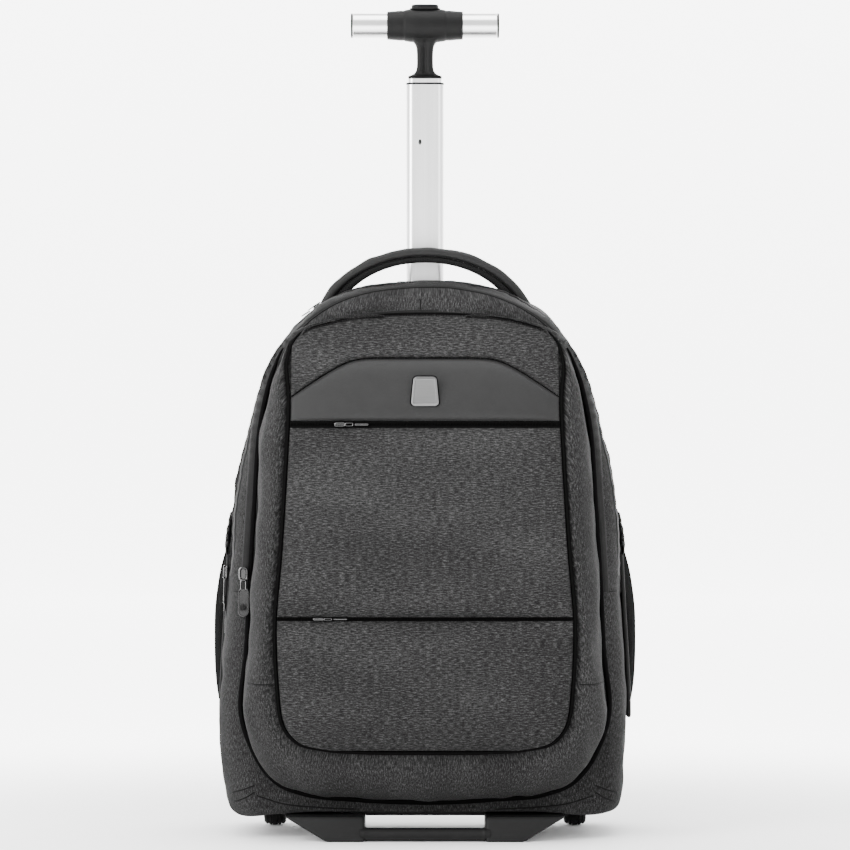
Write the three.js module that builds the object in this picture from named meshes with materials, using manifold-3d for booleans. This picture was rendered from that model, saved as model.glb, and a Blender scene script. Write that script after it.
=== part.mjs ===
// A wheeled laptop backpack: a padded cloth bag on a moulded base with two wheels, and a
// telescopic pole with a T-grip that stands behind its carry handle.
// Millimetres, +Z up. The front of the bag faces -Y. The origin lies on the floor, under the
// middle of the bag's footprint.

import * as THREE from "three";
import { mergeVertices } from "three/addons/utils/BufferGeometryUtils.js";
import Module from "manifold-3d";

const wasm = await Module();
wasm.setup();

// Main compartment
const bagWidth = 364;
const bagHeight = 473;
const bagDepth = 120;
const bagLift = 22; // floor to the underside of the cloth
const clothWall = 2.5; // padded cloth
const edgeRound = 17; // how far the front and back faces are drawn in by their rounded edges
const footRounding = 0.15; // share of that rounding along the foot
const frontLean = 20; // how much further forward the foot of the front face stands
const frontCrown = 8;
const seamGap = 0.3; // between pieces that are sewn, seated or slid together

// Front compartment
const pouchMargin = 22; // from the bag's side to the front compartment's
const pouchLift = 14; // its foot above the underside of the bag
const pouchDrop = 29; // its crown below the bag's
const pouchDepth = 78;
const faceMargin = 29; // from the front compartment's side to the seam round its front face
const faceLift = 58; // the face's foot above the underside of the bag
const faceDrop = 1; // the face's crown below the compartment's
const faceCrown = 4;

// Padded panels on the front face
const panelPuff = 12;
const panelEdge = 1.6;
const panelInset = 1.4; // from the face's seam
const flapPuff = 4;
const lowerZipHeight = 175; // above the underside of the bag
const upperZipDrop = 98.5; // below the face's crown
const lowerZipGap = 3.4;
const upperZipGap = 6;
const flapCrestDrop = 40; // top of the smooth flap in the middle, below the face's crown
const flapShoulderDrop = 76; // and at its ends
const flapFlat = 58; // half the length of the crest's straight stretch

// Zips
const zipWidth = 10;
const zipSetback = 25; // main zip's middle behind the front face
const mainZipFoot = 195; // the closed zips' lower ends above the underside
const coilWidth = 4;
const coilRise = 0.9;
const frontTapeInset = 6; // outer edge of the front zip's tape from the bag's outline
const frontTapeWall = 1.6;

// Side pockets of mesh
const pocketFoot = 83; // above the underside of the bag
const pocketHeight = 178;
const pocketSlant = 34; // how much lower the front end of its mouth is
const pocketSetback = 30; // its front edge behind the bag's front face
const pocketRear = 14; // its back edge ahead of the bag's back
const pocketBulge = 11.5;
const meshWall = 1.6;
const hemHeight = 9;
const hemWall = 2.6;

// Carry handle
const handleSpread = 200; // width of the half ellipse that it follows
const handleRise = 75.5;
const handleStand = 30.5; // its crest above the bag's crown
const handleSetback = 52; // behind the front face
const handleWidth = 30;
const handleCoverWall = 7.6;
const handlePadWall = 4;
const handlePadWidth = 25;

// Back pad, shoulder straps and their webbing
const backPadThickness = 6.5;
const backPadInset = 21;
const backPadFoot = 74; // its foot above the underside of the bag
const strapThickness = 10;
const strapArch = 9.5; // how far the straps stand off the pad
const strapWidth = 58;
const strapTopOut = 48; // middle of a strap's upper end, from the bag's middle
const strapTopDrop = 49; // and below the bag's crown
const strapEndOut = 94;
const strapEndLift = 196; // above the underside of the bag
const webbingWidth = 25;
const webbingThickness = 1.8;
const webbingMargin = 42; // from the bag's side to the webbing's anchor
const webbingEndLift = 48;
const buckleHeight = 27;
const buckleWidth = 33;
const buckleThickness = 6;

// Telescopic pole
const poleWidth = 35;
const poleDepth = 18;
const poleCorner = 7;
const poleWall = 1.5;
const slideGap = 0.4;
const poleFromBack = 18; // pole's middle to the back of the bag
const poleShow = 183; // how far the lower stage stands above the bag, as shown
const lowerStageLength = 278;
const upperStageLength = 240;
const upperStageShow = 4; // bright band between the two stages' collars
const bushingHeight = 1.6;
const sleeveWall = 2.4;
const bezelWidth = 52;
const bezelDepth = 28;
const bezelHeight = 22;
const bezelLip = 3; // how far its rim reaches over the cloth
const bezelRise = 2.5; // above the top of the bag

// T-grip
const gripWidth = 136;
const gripTubeDiameter = 22.5;
const gripTubeWall = 1.6;
const barrelWidth = 69.5;
const barrelHeight = 31;
const barrelEndHeight = 25.6;
const stemWidth = 14.7;
const stemDepth = 12;
const stemLength = 32;
const flangeWidth = 31;
const flangeDepth = 15;
const flangeHeight = 2;
const plugLength = 12; // of the grip in the upper stage
const socketDepth = 14;
const endCapThickness = 1.6;
const buttonWidth = 25;
const buttonDepth = 15;
const buttonRise = 3.6;
const buttonStroke = 3;
const buttonSocket = 9;

// Base, feet and wheels
const wheelDiameter = 60;
const wheelWidth = 20;
const wheelMargin = 45; // from the bag's side to the wheel's middle
const wheelFromBack = 22; // axle to the back of the bag
const hubDiameter = 38;
const axleDiameter = 6;
const axleGap = 0.3;
const housingWall = 2.2;
const housingSpace = 3.2; // between the tyre and its housing
const trayThickness = 4;
const trayFront = 3; // the tray's front edge behind the bag's front face
const footInner = 53; // from the middle to a foot's upright edge
const footTopWidth = 71;
const footBottomWidth = 34;
const footAhead = 52.4; // the feet's toes ahead of the bag's front face
const footDepth = 62;
const barDiameter = 11.6;
const barLift = 0.6;

// Small metal
const badgeTop = 21;
const badgeBottom = 25;
const badgeHeight = 26;
const badgeThickness = 2;
const badgeDrop = 69.5; // its middle below the face's crown
const sliderLength = 12;
const sliderWidth = 9;
const sliderThickness = 4.5;
const pullLength = 33;
const pullWidth = 10;
const pullThickness = 1.6;

// Places that follow from those sizes
const pouchWidth = bagWidth - 2 * pouchMargin;
const pouchHeight = bagHeight - pouchLift - pouchDrop;
const faceWidth = pouchWidth - 2 * faceMargin;
const faceHeight = pouchLift + pouchHeight - faceDrop - faceLift;
const faceCrownLift = faceLift + faceHeight; // above the underside of the bag
const upperZipHeight = faceCrownLift - upperZipDrop;
const flapCrest = faceCrownLift - flapCrestDrop;
const flapShoulder = faceCrownLift - flapShoulderDrop;
const badgeLift = faceCrownLift - badgeDrop;
const pocketSpan = bagDepth - pocketSetback - pocketRear;
const wheelSpacing = bagWidth - 2 * wheelMargin;
const trayWidth = wheelSpacing - wheelWidth;
const lowerStageTop = bagLift + bagHeight + poleShow;
const handleCrest = bagHeight + handleStand; // above the underside of the bag
const frontDepth = panelPuff + pouchDepth + faceCrown / 3;
const backDepth = bagDepth + backPadThickness + strapArch + strapThickness + 2 * seamGap;
const bagFront = (frontDepth - backDepth) / 2;
const bagBack = bagFront + bagDepth;
const padBack = bagBack + seamGap + backPadThickness;
const poleY = bagBack - poleFromBack;
const zipY = bagFront + zipSetback;
const handleY = bagFront + handleSetback;
const wheelY = bagBack - wheelFromBack;
const wheelZ = wheelDiameter / 2;

// Half outlines from the middle of the foot to the middle of the crown, as shares of the half
// width and of the height.
const bagOutline = [
  { out: 0, up: 0 },
  { out: 0.55, up: 0 },
  { out: 0.9, up: 0.002 },
  { out: 0.952, up: 0.022 },
  { out: 0.975, up: 0.09 },
  { out: 1, up: 0.17 },
  { out: 0.977, up: 0.38 },
  { out: 0.945, up: 0.56 },
  { out: 0.886, up: 0.7 },
  { out: 0.806, up: 0.81 },
  { out: 0.66, up: 0.908 },
  { out: 0.38, up: 0.98 },
  { out: 0, up: 1 },
];
const pouchOutline = [
  { out: 0, up: 0 },
  { out: 0.4, up: 0.006 },
  { out: 0.66, up: 0.016 },
  { out: 0.82, up: 0.042 },
  { out: 0.93, up: 0.097 },
  { out: 1, up: 0.18 },
  { out: 0.97, up: 0.3 },
  { out: 0.952, up: 0.44 },
  { out: 0.925, up: 0.61 },
  { out: 0.896, up: 0.763 },
  { out: 0.823, up: 0.879 },
  { out: 0.745, up: 0.937 },
  { out: 0.52, up: 0.978 },
  { out: 0, up: 1 },
];
const faceOutline = [
  { out: 0, up: 0 },
  { out: 0.4, up: 0.001 },
  { out: 0.68, up: 0.008 },
  { out: 0.87, up: 0.028 },
  { out: 0.955, up: 0.071 },
  { out: 0.985, up: 0.15 },
  { out: 1, up: 0.293 },
  { out: 0.965, up: 0.45 },
  { out: 0.93, up: 0.66 },
  { out: 0.915, up: 0.8 },
  { out: 0.93, up: 0.885 },
  { out: 0.88, up: 0.94 },
  { out: 0.62, up: 0.982 },
  { out: 0, up: 1 },
];

// The bag from its front face to its back, as shares of its depth and of the edges' rounding.
const bagStations = [
  { along: 0, inset: 1 },
  { along: 0.033, inset: 0.56 },
  { along: 0.09, inset: 0.24 },
  { along: 0.167, inset: 0.07 },
  { along: 0.275, inset: 0 },
  { along: 0.82, inset: 0 },
  { along: 0.92, inset: 0.18 },
  { along: 0.975, inset: 0.5 },
  { along: 1, inset: 1 },
];
// The front compartment's gusset, from the bag to the face: how far it has drawn in towards the
// face's seam, and how far forward it has come.
const gussetStations = [
  { drawn: 0, forward: -0.3 },
  { drawn: 0, forward: 0.1 },
  { drawn: -0.02, forward: 0.45 },
  { drawn: 0.08, forward: 0.75 },
  { drawn: 0.38, forward: 0.94 },
  { drawn: 1, forward: 1 },
];
// How deep the front compartment is at a height, as shares of the face's height and the depth.
const faceDepths = [
  { up: 0, deep: 0.94 },
  { up: 0.1, deep: 1 },
  { up: 0.3, deep: 0.96 },
  { up: 0.52, deep: 0.85 },
  { up: 0.7, deep: 0.72 },
  { up: 0.83, deep: 0.57 },
  { up: 0.93, deep: 0.36 },
  { up: 1, deep: 0.12 },
];
// A side pocket's swelling from its foot to its mouth.
const pocketSwelling = [
  { up: 0, swell: -0.12 },
  { up: 0.06, swell: 0.36 },
  { up: 0.22, swell: 0.66 },
  { up: 0.42, swell: 0.9 },
  { up: 0.6, swell: 1 },
  { up: 0.8, swell: 0.84 },
  { up: 0.92, swell: 0.62 },
  { up: 1, swell: 0.5 },
];

const flatness = 0.08; // how far a surface may be from its finest form
const outlineSteps = 16; // points up each half of an outline

// Value of a table's column at a place in its first column.
function readTable(table, key, place, value) {
  const last = table.length - 1;
  if (place <= table[0][key]) return table[0][value];
  if (place >= table[last][key]) return table[last][value];
  const i = table.findIndex((row) => row[key] > place) - 1;
  const share = (place - table[i][key]) / (table[i + 1][key] - table[i][key]);
  return THREE.MathUtils.lerp(table[i][value], table[i + 1][value], share);
}

// The closed outline as shares, right side first
function outlineShares(table) {
  const right = table.map((row) => new THREE.Vector3(row.out, row.up, 0));
  const left = right.slice(1, -1).reverse().map((p) => new THREE.Vector3(-p.x, p.y, 0));
  const curve = new THREE.CatmullRomCurve3([...right, ...left], true, "centripetal");
  const half = outlineSteps;
  const points = [];
  for (let i = 0; i <= half; i++) points.push(curve.getPoint(i / (2 * half)));
  points[0].x = 0;
  points[half].x = 0;
  // Each point stands a little above the last, so that rows across the outline never fold.
  const least = 0.0008;
  for (let i = 1; i <= half; i++) points[i].y = Math.max(points[i].y, points[i - 1].y + least);
  for (let i = half; i > 0; i--) points[i - 1].y = Math.min(points[i - 1].y, points[i].y - least);
  for (let i = half - 1; i > 0; i--) points.push(new THREE.Vector3(-points[i].x, points[i].y, 0));
  return points;
}
const bagShares = outlineShares(bagOutline);
const pouchShares = outlineShares(pouchOutline);
const faceShares = outlineShares(faceOutline);

// A closed triangle mesh as a solid, turned face out.
function solidOfMesh(points, triangles) {
  const vertProperties = new Float32Array(points.flatMap((p) => [p.x, p.y, p.z]));
  const build = (list) =>
    new wasm.Manifold(
      new wasm.Mesh({ numProp: 3, vertProperties, triVerts: new Uint32Array(list.flat()) }),
    );
  const made = build(triangles);
  return made.volume() > 0 ? made : build(triangles.map(([a, b, c]) => [a, c, b]));
}

// A three.js geometry, moved by a matrix, as a solid.
function solidOfGeometry(geometry, matrix = new THREE.Matrix4()) {
  const bare = geometry.clone().applyMatrix4(matrix);
  bare.deleteAttribute("normal");
  bare.deleteAttribute("uv");
  const merged = mergeVertices(bare, 1e-4);
  const place = merged.attributes.position;
  const points = [];
  for (let i = 0; i < place.count; i++) points.push(new THREE.Vector3().fromBufferAttribute(place, i));
  const triangles = [];
  for (let i = 0; i < merged.index.count; i += 3) {
    const [a, b, c] = [0, 1, 2].map((k) => merged.index.getX(i + k));
    if (a !== b && b !== c && a !== c) triangles.push([a, b, c]);
  }
  return solidOfMesh(points, triangles);
}

function boxSolid(low, high) {
  const size = new THREE.Vector3().subVectors(high, low);
  const middle = new THREE.Vector3().addVectors(low, high).multiplyScalar(0.5);
  return solidOfGeometry(
    new THREE.BoxGeometry(size.x, size.y, size.z),
    new THREE.Matrix4().setPosition(middle),
  );
}

const at = (x, y, z) => new THREE.Vector3(x, y, z);

// Rings of as many points each, joined into a tube and closed by a flat or bowed cap at each
// end. A cap is rows from the ring's right side to its left, set on surface(x, z, y).
function loft(rings, firstSurface, lastSurface) {
  const points = rings.flat();
  const triangles = [];
  const count = rings[0].length;
  for (let r = 0; r + 1 < rings.length; r++) {
    for (let i = 0; i < count; i++) {
      const a = r * count + i;
      const b = r * count + ((i + 1) % count);
      triangles.push([a, b, b + count], [a, b + count, a + count]);
    }
  }
  addRowCap(points, triangles, 0, count, firstSurface, false);
  addRowCap(points, triangles, (rings.length - 1) * count, count, lastSurface, true);
  return solidOfMesh(points, triangles);
}

const capColumns = [-0.5, 0, 0.5];
function addRowCap(points, triangles, first, count, surface, facingOn) {
  const half = count / 2;
  const push = (a, b, c) => triangles.push(facingOn ? [a, b, c] : [a, c, b]);
  let below = null;
  for (let i = 1; i < half; i++) {
    const right = points[first + i];
    const row = [first + i];
    for (const share of capColumns) {
      const x = -share * right.x;
      points.push(at(x, surface ? surface(x, right.z) : right.y, right.z));
      row.push(points.length - 1);
    }
    row.push(first + count - i);
    if (!below) {
      for (let k = 0; k + 1 < row.length; k++) push(first, row[k], row[k + 1]);
    } else {
      for (let k = 0; k + 1 < row.length; k++) {
        push(below[k], row[k], row[k + 1]);
        push(below[k], row[k + 1], below[k + 1]);
      }
    }
    below = row;
  }
  for (let k = 0; k + 1 < below.length; k++) push(below[k], first + half, below[k + 1]);
}

// A solid with its skin moved outwards by an amount
function grown(solid, amount) {
  const mesh = solid.getMesh();
  const geometry = new THREE.BufferGeometry();
  geometry.setAttribute("position", new THREE.BufferAttribute(mesh.vertProperties, 3));
  geometry.setIndex(new THREE.BufferAttribute(mesh.triVerts, 1));
  geometry.computeVertexNormals();
  const normals = geometry.attributes.normal.array;
  const vertProperties = mesh.vertProperties.map((value, i) => value + normals[i] * amount);
  return new wasm.Manifold(new wasm.Mesh({ numProp: 3, vertProperties, triVerts: mesh.triVerts }));
}

// How far the front face of the bag stands forward of its flat plane
function bagForward(x, z) {
  const up = THREE.MathUtils.clamp((z - bagLift) / bagHeight, 0, 1);
  const out = Math.min(1, Math.abs((2 * x) / bagWidth));
  return frontLean * (1 - up) ** 1.5 + frontCrown * (1 - out * out);
}

// The whole bag as one filled solid
function bagSolid() {
  const rings = bagStations.map(({ along, inset }) => {
    const drawn = inset * edgeRound;
    const weight = Math.max(0, 1 - along / 0.45);
    return bagShares.map((p) => {
      const x = p.x * (bagWidth / 2 - drawn);
      const raised = drawn * footRounding;
      const z = bagLift + raised + p.y * (bagHeight - raised - drawn);
      return at(x, bagFront + along * bagDepth - weight * bagForward(x, z), z);
    });
  });
  return loft(rings, (x, z) => bagFront - bagForward(x, z), null);
}

// The front face of the front compartment.
function faceY(x, z) {
  const up = (z - bagLift - faceLift) / faceHeight;
  const deep = readTable(faceDepths, "up", up, "deep") * pouchDepth;
  const across = (2 * x) / faceWidth;
  const crown = faceCrown * (1 - Math.min(1, across * across)) * Math.sin(Math.PI * Math.min(1, Math.max(0, up)));
  return bagFront - deep - crown;
}

// The front compartment as one filled solid that starts inside the bag
function pouchSolid() {
  const rings = gussetStations.map(({ drawn, forward }) =>
    pouchShares.map((p, i) => {
      const f = faceShares[i];
      const base = at((p.x * pouchWidth) / 2, 0, bagLift + pouchLift + p.y * pouchHeight);
      const face = at((f.x * faceWidth) / 2, 0, bagLift + faceLift + f.y * faceHeight);
      const spot = base.lerp(face, drawn);
      spot.y = THREE.MathUtils.lerp(bagFront, faceY(spot.x, spot.z), forward);
      if (forward < 0) spot.y = bagFront + bagDepth / 4;
      return spot;
    }),
  );
  return loft(rings, null, faceY);
}

// A closed slab between two grids of as many rows and columns.
function slab(outer, inner) {
  const rows = outer.length;
  const columns = outer[0].length;
  const points = [...outer.flat(), ...inner.flat()];
  const shift = rows * columns;
  const triangles = [];
  const quad = (a, b, c, d) => triangles.push([a, b, c], [a, c, d]);
  for (let r = 0; r + 1 < rows; r++) {
    for (let c = 0; c + 1 < columns; c++) {
      const a = r * columns + c;
      quad(a, a + 1, a + columns + 1, a + columns);
      quad(a + shift, a + shift + columns, a + shift + columns + 1, a + shift + 1);
    }
  }
  for (let r = 0; r + 1 < rows; r++) {
    const a = r * columns;
    quad(a, a + columns, a + columns + shift, a + shift);
    const b = a + columns - 1;
    quad(b, b + shift, b + columns + shift, b + columns);
  }
  for (let c = 0; c + 1 < columns; c++) {
    quad(c, c + shift, c + 1 + shift, c + 1);
    const d = (rows - 1) * columns + c;
    quad(d, d + 1, d + 1 + shift, d + shift);
  }
  return solidOfMesh(points, triangles);
}

const steps = (count) => Array.from({ length: count + 1 }, (_, i) => i / count);

// A section carried along a path: frames give its place, and its sideways and outward
// directions. The section is a list of [sideways, outward] points.
function sweep(frames, section) {
  const rings = frames.map((f) =>
    section.map(([s, o]) =>
      f.place.clone().addScaledVector(f.sideways, s).addScaledVector(f.outward, o),
    ),
  );
  return ringTube(rings);
}

// Rings joined into a tube with a flat fan at each end.
function ringTube(rings) {
  const points = rings.flat();
  const count = rings[0].length;
  const triangles = [];
  for (let r = 0; r + 1 < rings.length; r++) {
    for (let i = 0; i < count; i++) {
      const a = r * count + i;
      const b = r * count + ((i + 1) % count);
      triangles.push([a, b, b + count], [a, b + count, a + count]);
    }
  }
  const last = (rings.length - 1) * count;
  for (let i = 1; i + 1 < count; i++) {
    triangles.push([0, i + 1, i], [last, last + i, last + i + 1]);
  }
  return solidOfMesh(points, triangles);
}

// A rectangle with its corners cut, as a section for sweep.
function softRectangle(width, low, high, cut) {
  const h = width / 2;
  return [
    [-h, low + cut],
    [-h + cut, low],
    [h - cut, low],
    [h, low + cut],
    [h, high - cut],
    [h - cut, high],
    [-h + cut, high],
    [-h, high - cut],
  ];
}

// A flat shape in X and Z, carried along Y from one place to another.
function plateAlongY(shape, from, to, curveSegments = 6) {
  const geometry = new THREE.ExtrudeGeometry(shape, { depth: to - from, bevelEnabled: false, curveSegments });
  const turn = new THREE.Matrix4().makeRotationX(Math.PI / 2);
  return solidOfGeometry(geometry, turn.premultiply(new THREE.Matrix4().makeTranslation(0, to, 0)));
}

// A flat shape in X and Y, carried along Z.
function postAlongZ(shape, from, to, curveSegments = 2) {
  const geometry = new THREE.ExtrudeGeometry(shape, { depth: to - from, bevelEnabled: false, curveSegments });
  return solidOfGeometry(geometry, new THREE.Matrix4().makeTranslation(0, 0, from));
}

function roundedRectangle(width, height, radius, middleX = 0, middleY = 0) {
  const shape = new THREE.Shape();
  const x = middleX - width / 2;
  const y = middleY - height / 2;
  shape.moveTo(x + radius, y);
  shape.lineTo(x + width - radius, y);
  shape.absarc(x + width - radius, y + radius, radius, -Math.PI / 2, 0);
  shape.lineTo(x + width, y + height - radius);
  shape.absarc(x + width - radius, y + height - radius, radius, 0, Math.PI / 2);
  shape.lineTo(x + radius, y + height);
  shape.absarc(x + radius, y + height - radius, radius, Math.PI / 2, Math.PI);
  shape.lineTo(x, y + radius);
  shape.absarc(x + radius, y + radius, radius, Math.PI, 1.5 * Math.PI);
  return shape;
}

// A profile of [radius, along] turned round the X axis.
function turnedAlongX(profile, middle, segments) {
  const geometry = new THREE.LatheGeometry(
    profile.map(([radius, along]) => new THREE.Vector2(radius, along)),
    segments,
  );
  const turn = new THREE.Matrix4().makeRotationZ(-Math.PI / 2);
  return solidOfGeometry(geometry, turn.setPosition(middle));
}

function moved(solid, matrix) {
  return solid.transform(matrix.elements);
}

// Left of the middle is mirrored from the right.
const mirrored = (solid) => solid.mirror([1, 0, 0]);

const group = new THREE.Group();
const finishes = {
  melange: new THREE.MeshStandardMaterial({ color: 0x4b4b4b, roughness: 0.95 }),
  dark_cloth: new THREE.MeshStandardMaterial({ color: 0x333333, roughness: 0.9 }),
  smooth_leather: new THREE.MeshStandardMaterial({ color: 0x464646, roughness: 0.55 }),
  mesh: new THREE.MeshStandardMaterial({ color: 0x151515, roughness: 0.95 }),
  zip: new THREE.MeshStandardMaterial({ color: 0x101010, roughness: 0.8 }),
  webbing: new THREE.MeshStandardMaterial({ color: 0x1c1c1c, roughness: 0.9 }),
  dark_metal: new THREE.MeshStandardMaterial({ color: 0x7d7d7d, roughness: 0.3, metalness: 1 }),
  aluminium: new THREE.MeshStandardMaterial({ color: 0xd9dadb, roughness: 0.25, metalness: 1 }),
  black_plastic: new THREE.MeshStandardMaterial({ color: 0x1a1a1a, roughness: 0.45 }),
  base_plastic: new THREE.MeshStandardMaterial({ color: 0x3d3d3d, roughness: 0.6 }),
  tyre: new THREE.MeshStandardMaterial({ color: 0x0e0e0e, roughness: 0.7 }),
};
for (const [name, finish] of Object.entries(finishes)) finish.name = name;

function addPiece(name, finish, solid) {
  // Trimming can leave crumbs beside a piece: the largest body is the piece.
  const bodies = solid.decompose().sort((a, b) => b.volume() - a.volume());
  const made = bodies[0].simplify(flatness).getMesh();
  const width = made.numProp;
  const positions = new Float32Array(made.numVert * 3);
  for (let i = 0; i < made.numVert; i++) {
    positions.set(made.vertProperties.subarray(i * width, i * width + 3), 3 * i);
  }
  const geometry = new THREE.BufferGeometry();
  geometry.setAttribute("position", new THREE.BufferAttribute(positions, 3));
  geometry.setIndex(new THREE.BufferAttribute(made.triVerts, 1));
  geometry.computeVertexNormals();
  const mesh = new THREE.Mesh(geometry, finishes[finish]);
  mesh.name = name;
  group.add(mesh);
}

// Filled forms that the other pieces are cut by
const bagOuter = bagSolid();
const bagInner = grown(bagOuter, -clothWall);
const bagClear = grown(bagOuter, seamGap);
const bagSpace = grown(bagOuter, -clothWall - seamGap);
const pouchOuter = pouchSolid();
const pouchClear = grown(pouchOuter, seamGap);
const wide = 2 * bagWidth;
const tall = 2 * bagHeight;

// Space for a pole that leaves through the top of the bag
const bezelClear = postAlongZ(
  roundedRectangle(
    bezelWidth - 2 * (bezelLip - seamGap),
    bezelDepth - 2 * (bezelLip - seamGap),
    poleCorner - 1,
    0,
    poleY,
  ),
  bagLift + bagHeight * 0.8,
  bagLift + tall,
);

// Wheel housings: an arch over each wheel, open below and behind
const housingInnerRadius = wheelDiameter / 2 + housingSpace;
const housingOuterRadius = housingInnerRadius + housingWall;
const housingInnerWidth = wheelWidth + 2 * housingSpace;
const housingOuterWidth = housingInnerWidth + 2 * housingWall;
const wheelX = wheelSpacing / 2;

function archSolid(radius, width, below, behind) {
  const round = turnedAlongX(
    [
      [0, -width / 2],
      [radius, -width / 2],
      [radius, width / 2],
      [0, width / 2],
    ],
    at(wheelX, wheelY, wheelZ),
    24,
  );
  const leg = boxSolid(
    at(wheelX - width / 2, wheelY - radius, below),
    at(wheelX + width / 2, wheelY + radius, wheelZ),
  );
  const rear = boxSolid(
    at(wheelX - width / 2, wheelY, below),
    at(wheelX + width / 2, behind, wheelZ + radius * 0.6),
  );
  return round.add(leg).add(rear).trimByPlane([0, 0, 1], below);
}

function makeBag() {
  const zipSlot = boxSolid(
    at(-wide, zipY - zipWidth / 2, bagLift + mainZipFoot),
    at(wide, zipY + zipWidth / 2, bagLift + tall),
  );
  const walls = bagOuter.subtract(bagInner);
  const housingHole = archSolid(
    housingOuterRadius + seamGap,
    housingOuterWidth + 2 * seamGap,
    0,
    bagBack + bagDepth,
  );
  const shell = walls
    .subtract(zipSlot)
    .subtract(bezelClear)
    .subtract(housingHole)
    .subtract(mirrored(housingHole));
  addPiece("bag_shell", "melange", shell);

  const tapeSpace = boxSolid(
    at(-wide, zipY - zipWidth / 2 + seamGap, bagLift + mainZipFoot + seamGap),
    at(wide, zipY + zipWidth / 2 - seamGap, bagLift + tall),
  );
  const coilSpace = boxSolid(
    at(-wide, zipY - coilWidth / 2, bagLift + mainZipFoot + seamGap),
    at(wide, zipY + coilWidth / 2, bagLift + tall),
  );
  const coil = grown(bagOuter, coilRise).subtract(bagInner).intersect(coilSpace);
  addPiece("main_zip_tape", "zip", walls.intersect(tapeSpace).add(coil));
}

function makeFrontCompartment() {
  const hollow = grown(pouchOuter, -clothWall);
  addPiece("front_compartment", "melange", pouchOuter.subtract(hollow).subtract(bagClear));

  const outerEdge = bagShares.map((p) => {
    const drawn = frontTapeInset;
    return new THREE.Vector2(
      p.x * (bagWidth / 2 - drawn),
      bagLift + drawn + p.y * (bagHeight - 2 * drawn),
    );
  });
  const band = plateAlongY(new THREE.Shape(outerEdge), bagFront - frontLean - frontCrown, bagFront + bagDepth * 0.1);
  const skin = grown(bagOuter, seamGap + frontTapeWall).subtract(bagClear);
  const above = boxSolid(at(-wide, -wide, bagLift + mainZipFoot), at(wide, wide, bagLift + tall));
  const tape = skin.intersect(band).intersect(above).subtract(pouchClear);
  addPiece("front_zip_tape", "zip", tape);
}

// Half the width of the front face at a height
const faceRight = faceShares.slice(0, faceShares.length / 2 + 1);
function faceHalfWidth(z) {
  const up = (z - bagLift - faceLift) / faceHeight;
  const i = Math.min(Math.max(faceRight.findIndex((p) => p.y > up), 1), faceRight.length - 1);
  const [low, high] = [faceRight[i - 1], faceRight[i]];
  const share = Math.min(1, Math.max(0, (up - low.y) / (high.y - low.y)));
  return (THREE.MathUtils.lerp(low.x, high.x, share) * faceWidth) / 2;
}
// Height of the face's upper edge at a distance from the middle
function faceTop(x) {
  const out = (2 * Math.abs(x)) / faceWidth;
  const upper = faceRight.filter((p) => p.y > 0.86);
  const i = Math.max(upper.findIndex((p) => p.x <= out), 1);
  const [low, high] = [upper[i - 1], upper[i]];
  const share = Math.min(1, Math.max(0, (low.x - out) / (low.x - high.x)));
  return bagLift + faceLift + THREE.MathUtils.lerp(low.y, high.y, share) * faceHeight;
}
// Upper edge of the smooth flap: straight in the middle, then falling to its ends
function flapTop(x) {
  const fall = Math.max(0, Math.abs(x) - flapFlat) / (faceHalfWidth(bagLift + flapShoulder) - flapFlat);
  const curve = Math.min(1, fall) ** 1.35;
  return bagLift + THREE.MathUtils.lerp(flapCrest, flapShoulder, curve);
}

// A padded panel on the front face. edge(s) gives the panel's lower and upper heights at a
// share of its half width, and place(s, z) its x.
function makePanel(name, finish, puff, rows, edge, place) {
  const across = [-1, -0.94, -0.75, -0.45, -0.15, 0.15, 0.45, 0.75, 0.94, 1];
  const up = [0, 0.05, 0.16, ...steps(rows).map((s) => 0.3 + 0.4 * s), 0.84, 0.95, 1];
  const grid = (y) =>
    up.map((v) =>
      across.map((s) => {
        const { low, high } = edge(s);
        const z = THREE.MathUtils.lerp(low, high, v);
        const x = place(s, z);
        const swell = (1 - s ** 6) * (1 - (2 * v - 1) ** 6);
        return at(x, y(x, z, panelEdge + puff * swell), z);
      }),
    );
  const outer = grid((x, z, thick) => faceY(x, z) - seamGap - thick);
  const inner = grid((x, z) => faceY(x, z) + 3 * clothWall);
  addPiece(name, finish, slab(outer, inner).subtract(pouchClear));
}

function makePanels() {
  const foot = bagLift + faceLift + panelInset;
  const lowerZip = bagLift + lowerZipHeight;
  const upperZip = bagLift + upperZipHeight;
  const puff = panelPuff - panelEdge - seamGap;
  const inFace = (s, z) => s * (faceHalfWidth(z) - panelInset);
  const sideX = faceHalfWidth(bagLift + flapShoulder) - panelInset;
  makePanel("lower_pocket_panel", "melange", puff, 3,
    () => ({ low: foot, high: lowerZip - lowerZipGap / 2 }), inFace);
  makePanel("upper_pocket_panel", "melange", puff * 0.8, 3,
    () => ({ low: lowerZip + lowerZipGap / 2, high: upperZip - upperZipGap / 2 }), inFace);
  makePanel("flap_panel", "smooth_leather", flapPuff, 2,
    (s) => ({ low: upperZip + upperZipGap / 2, high: flapTop(s * sideX) - panelInset / 2 }),
    (s) => s * sideX);
  makePanel("yoke_panel", "melange", puff * 0.4, 2,
    (s) => ({ low: flapTop(s * sideX) + panelInset / 2, high: faceTop(s * sideX) - panelInset }),
    (s) => s * sideX);
  makeZipStrip("lower_pocket_zip", lowerZip, lowerZipGap - 2 * seamGap);
  makeZipStrip("upper_pocket_zip", upperZip, upperZipGap - 2 * seamGap);
}

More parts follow.
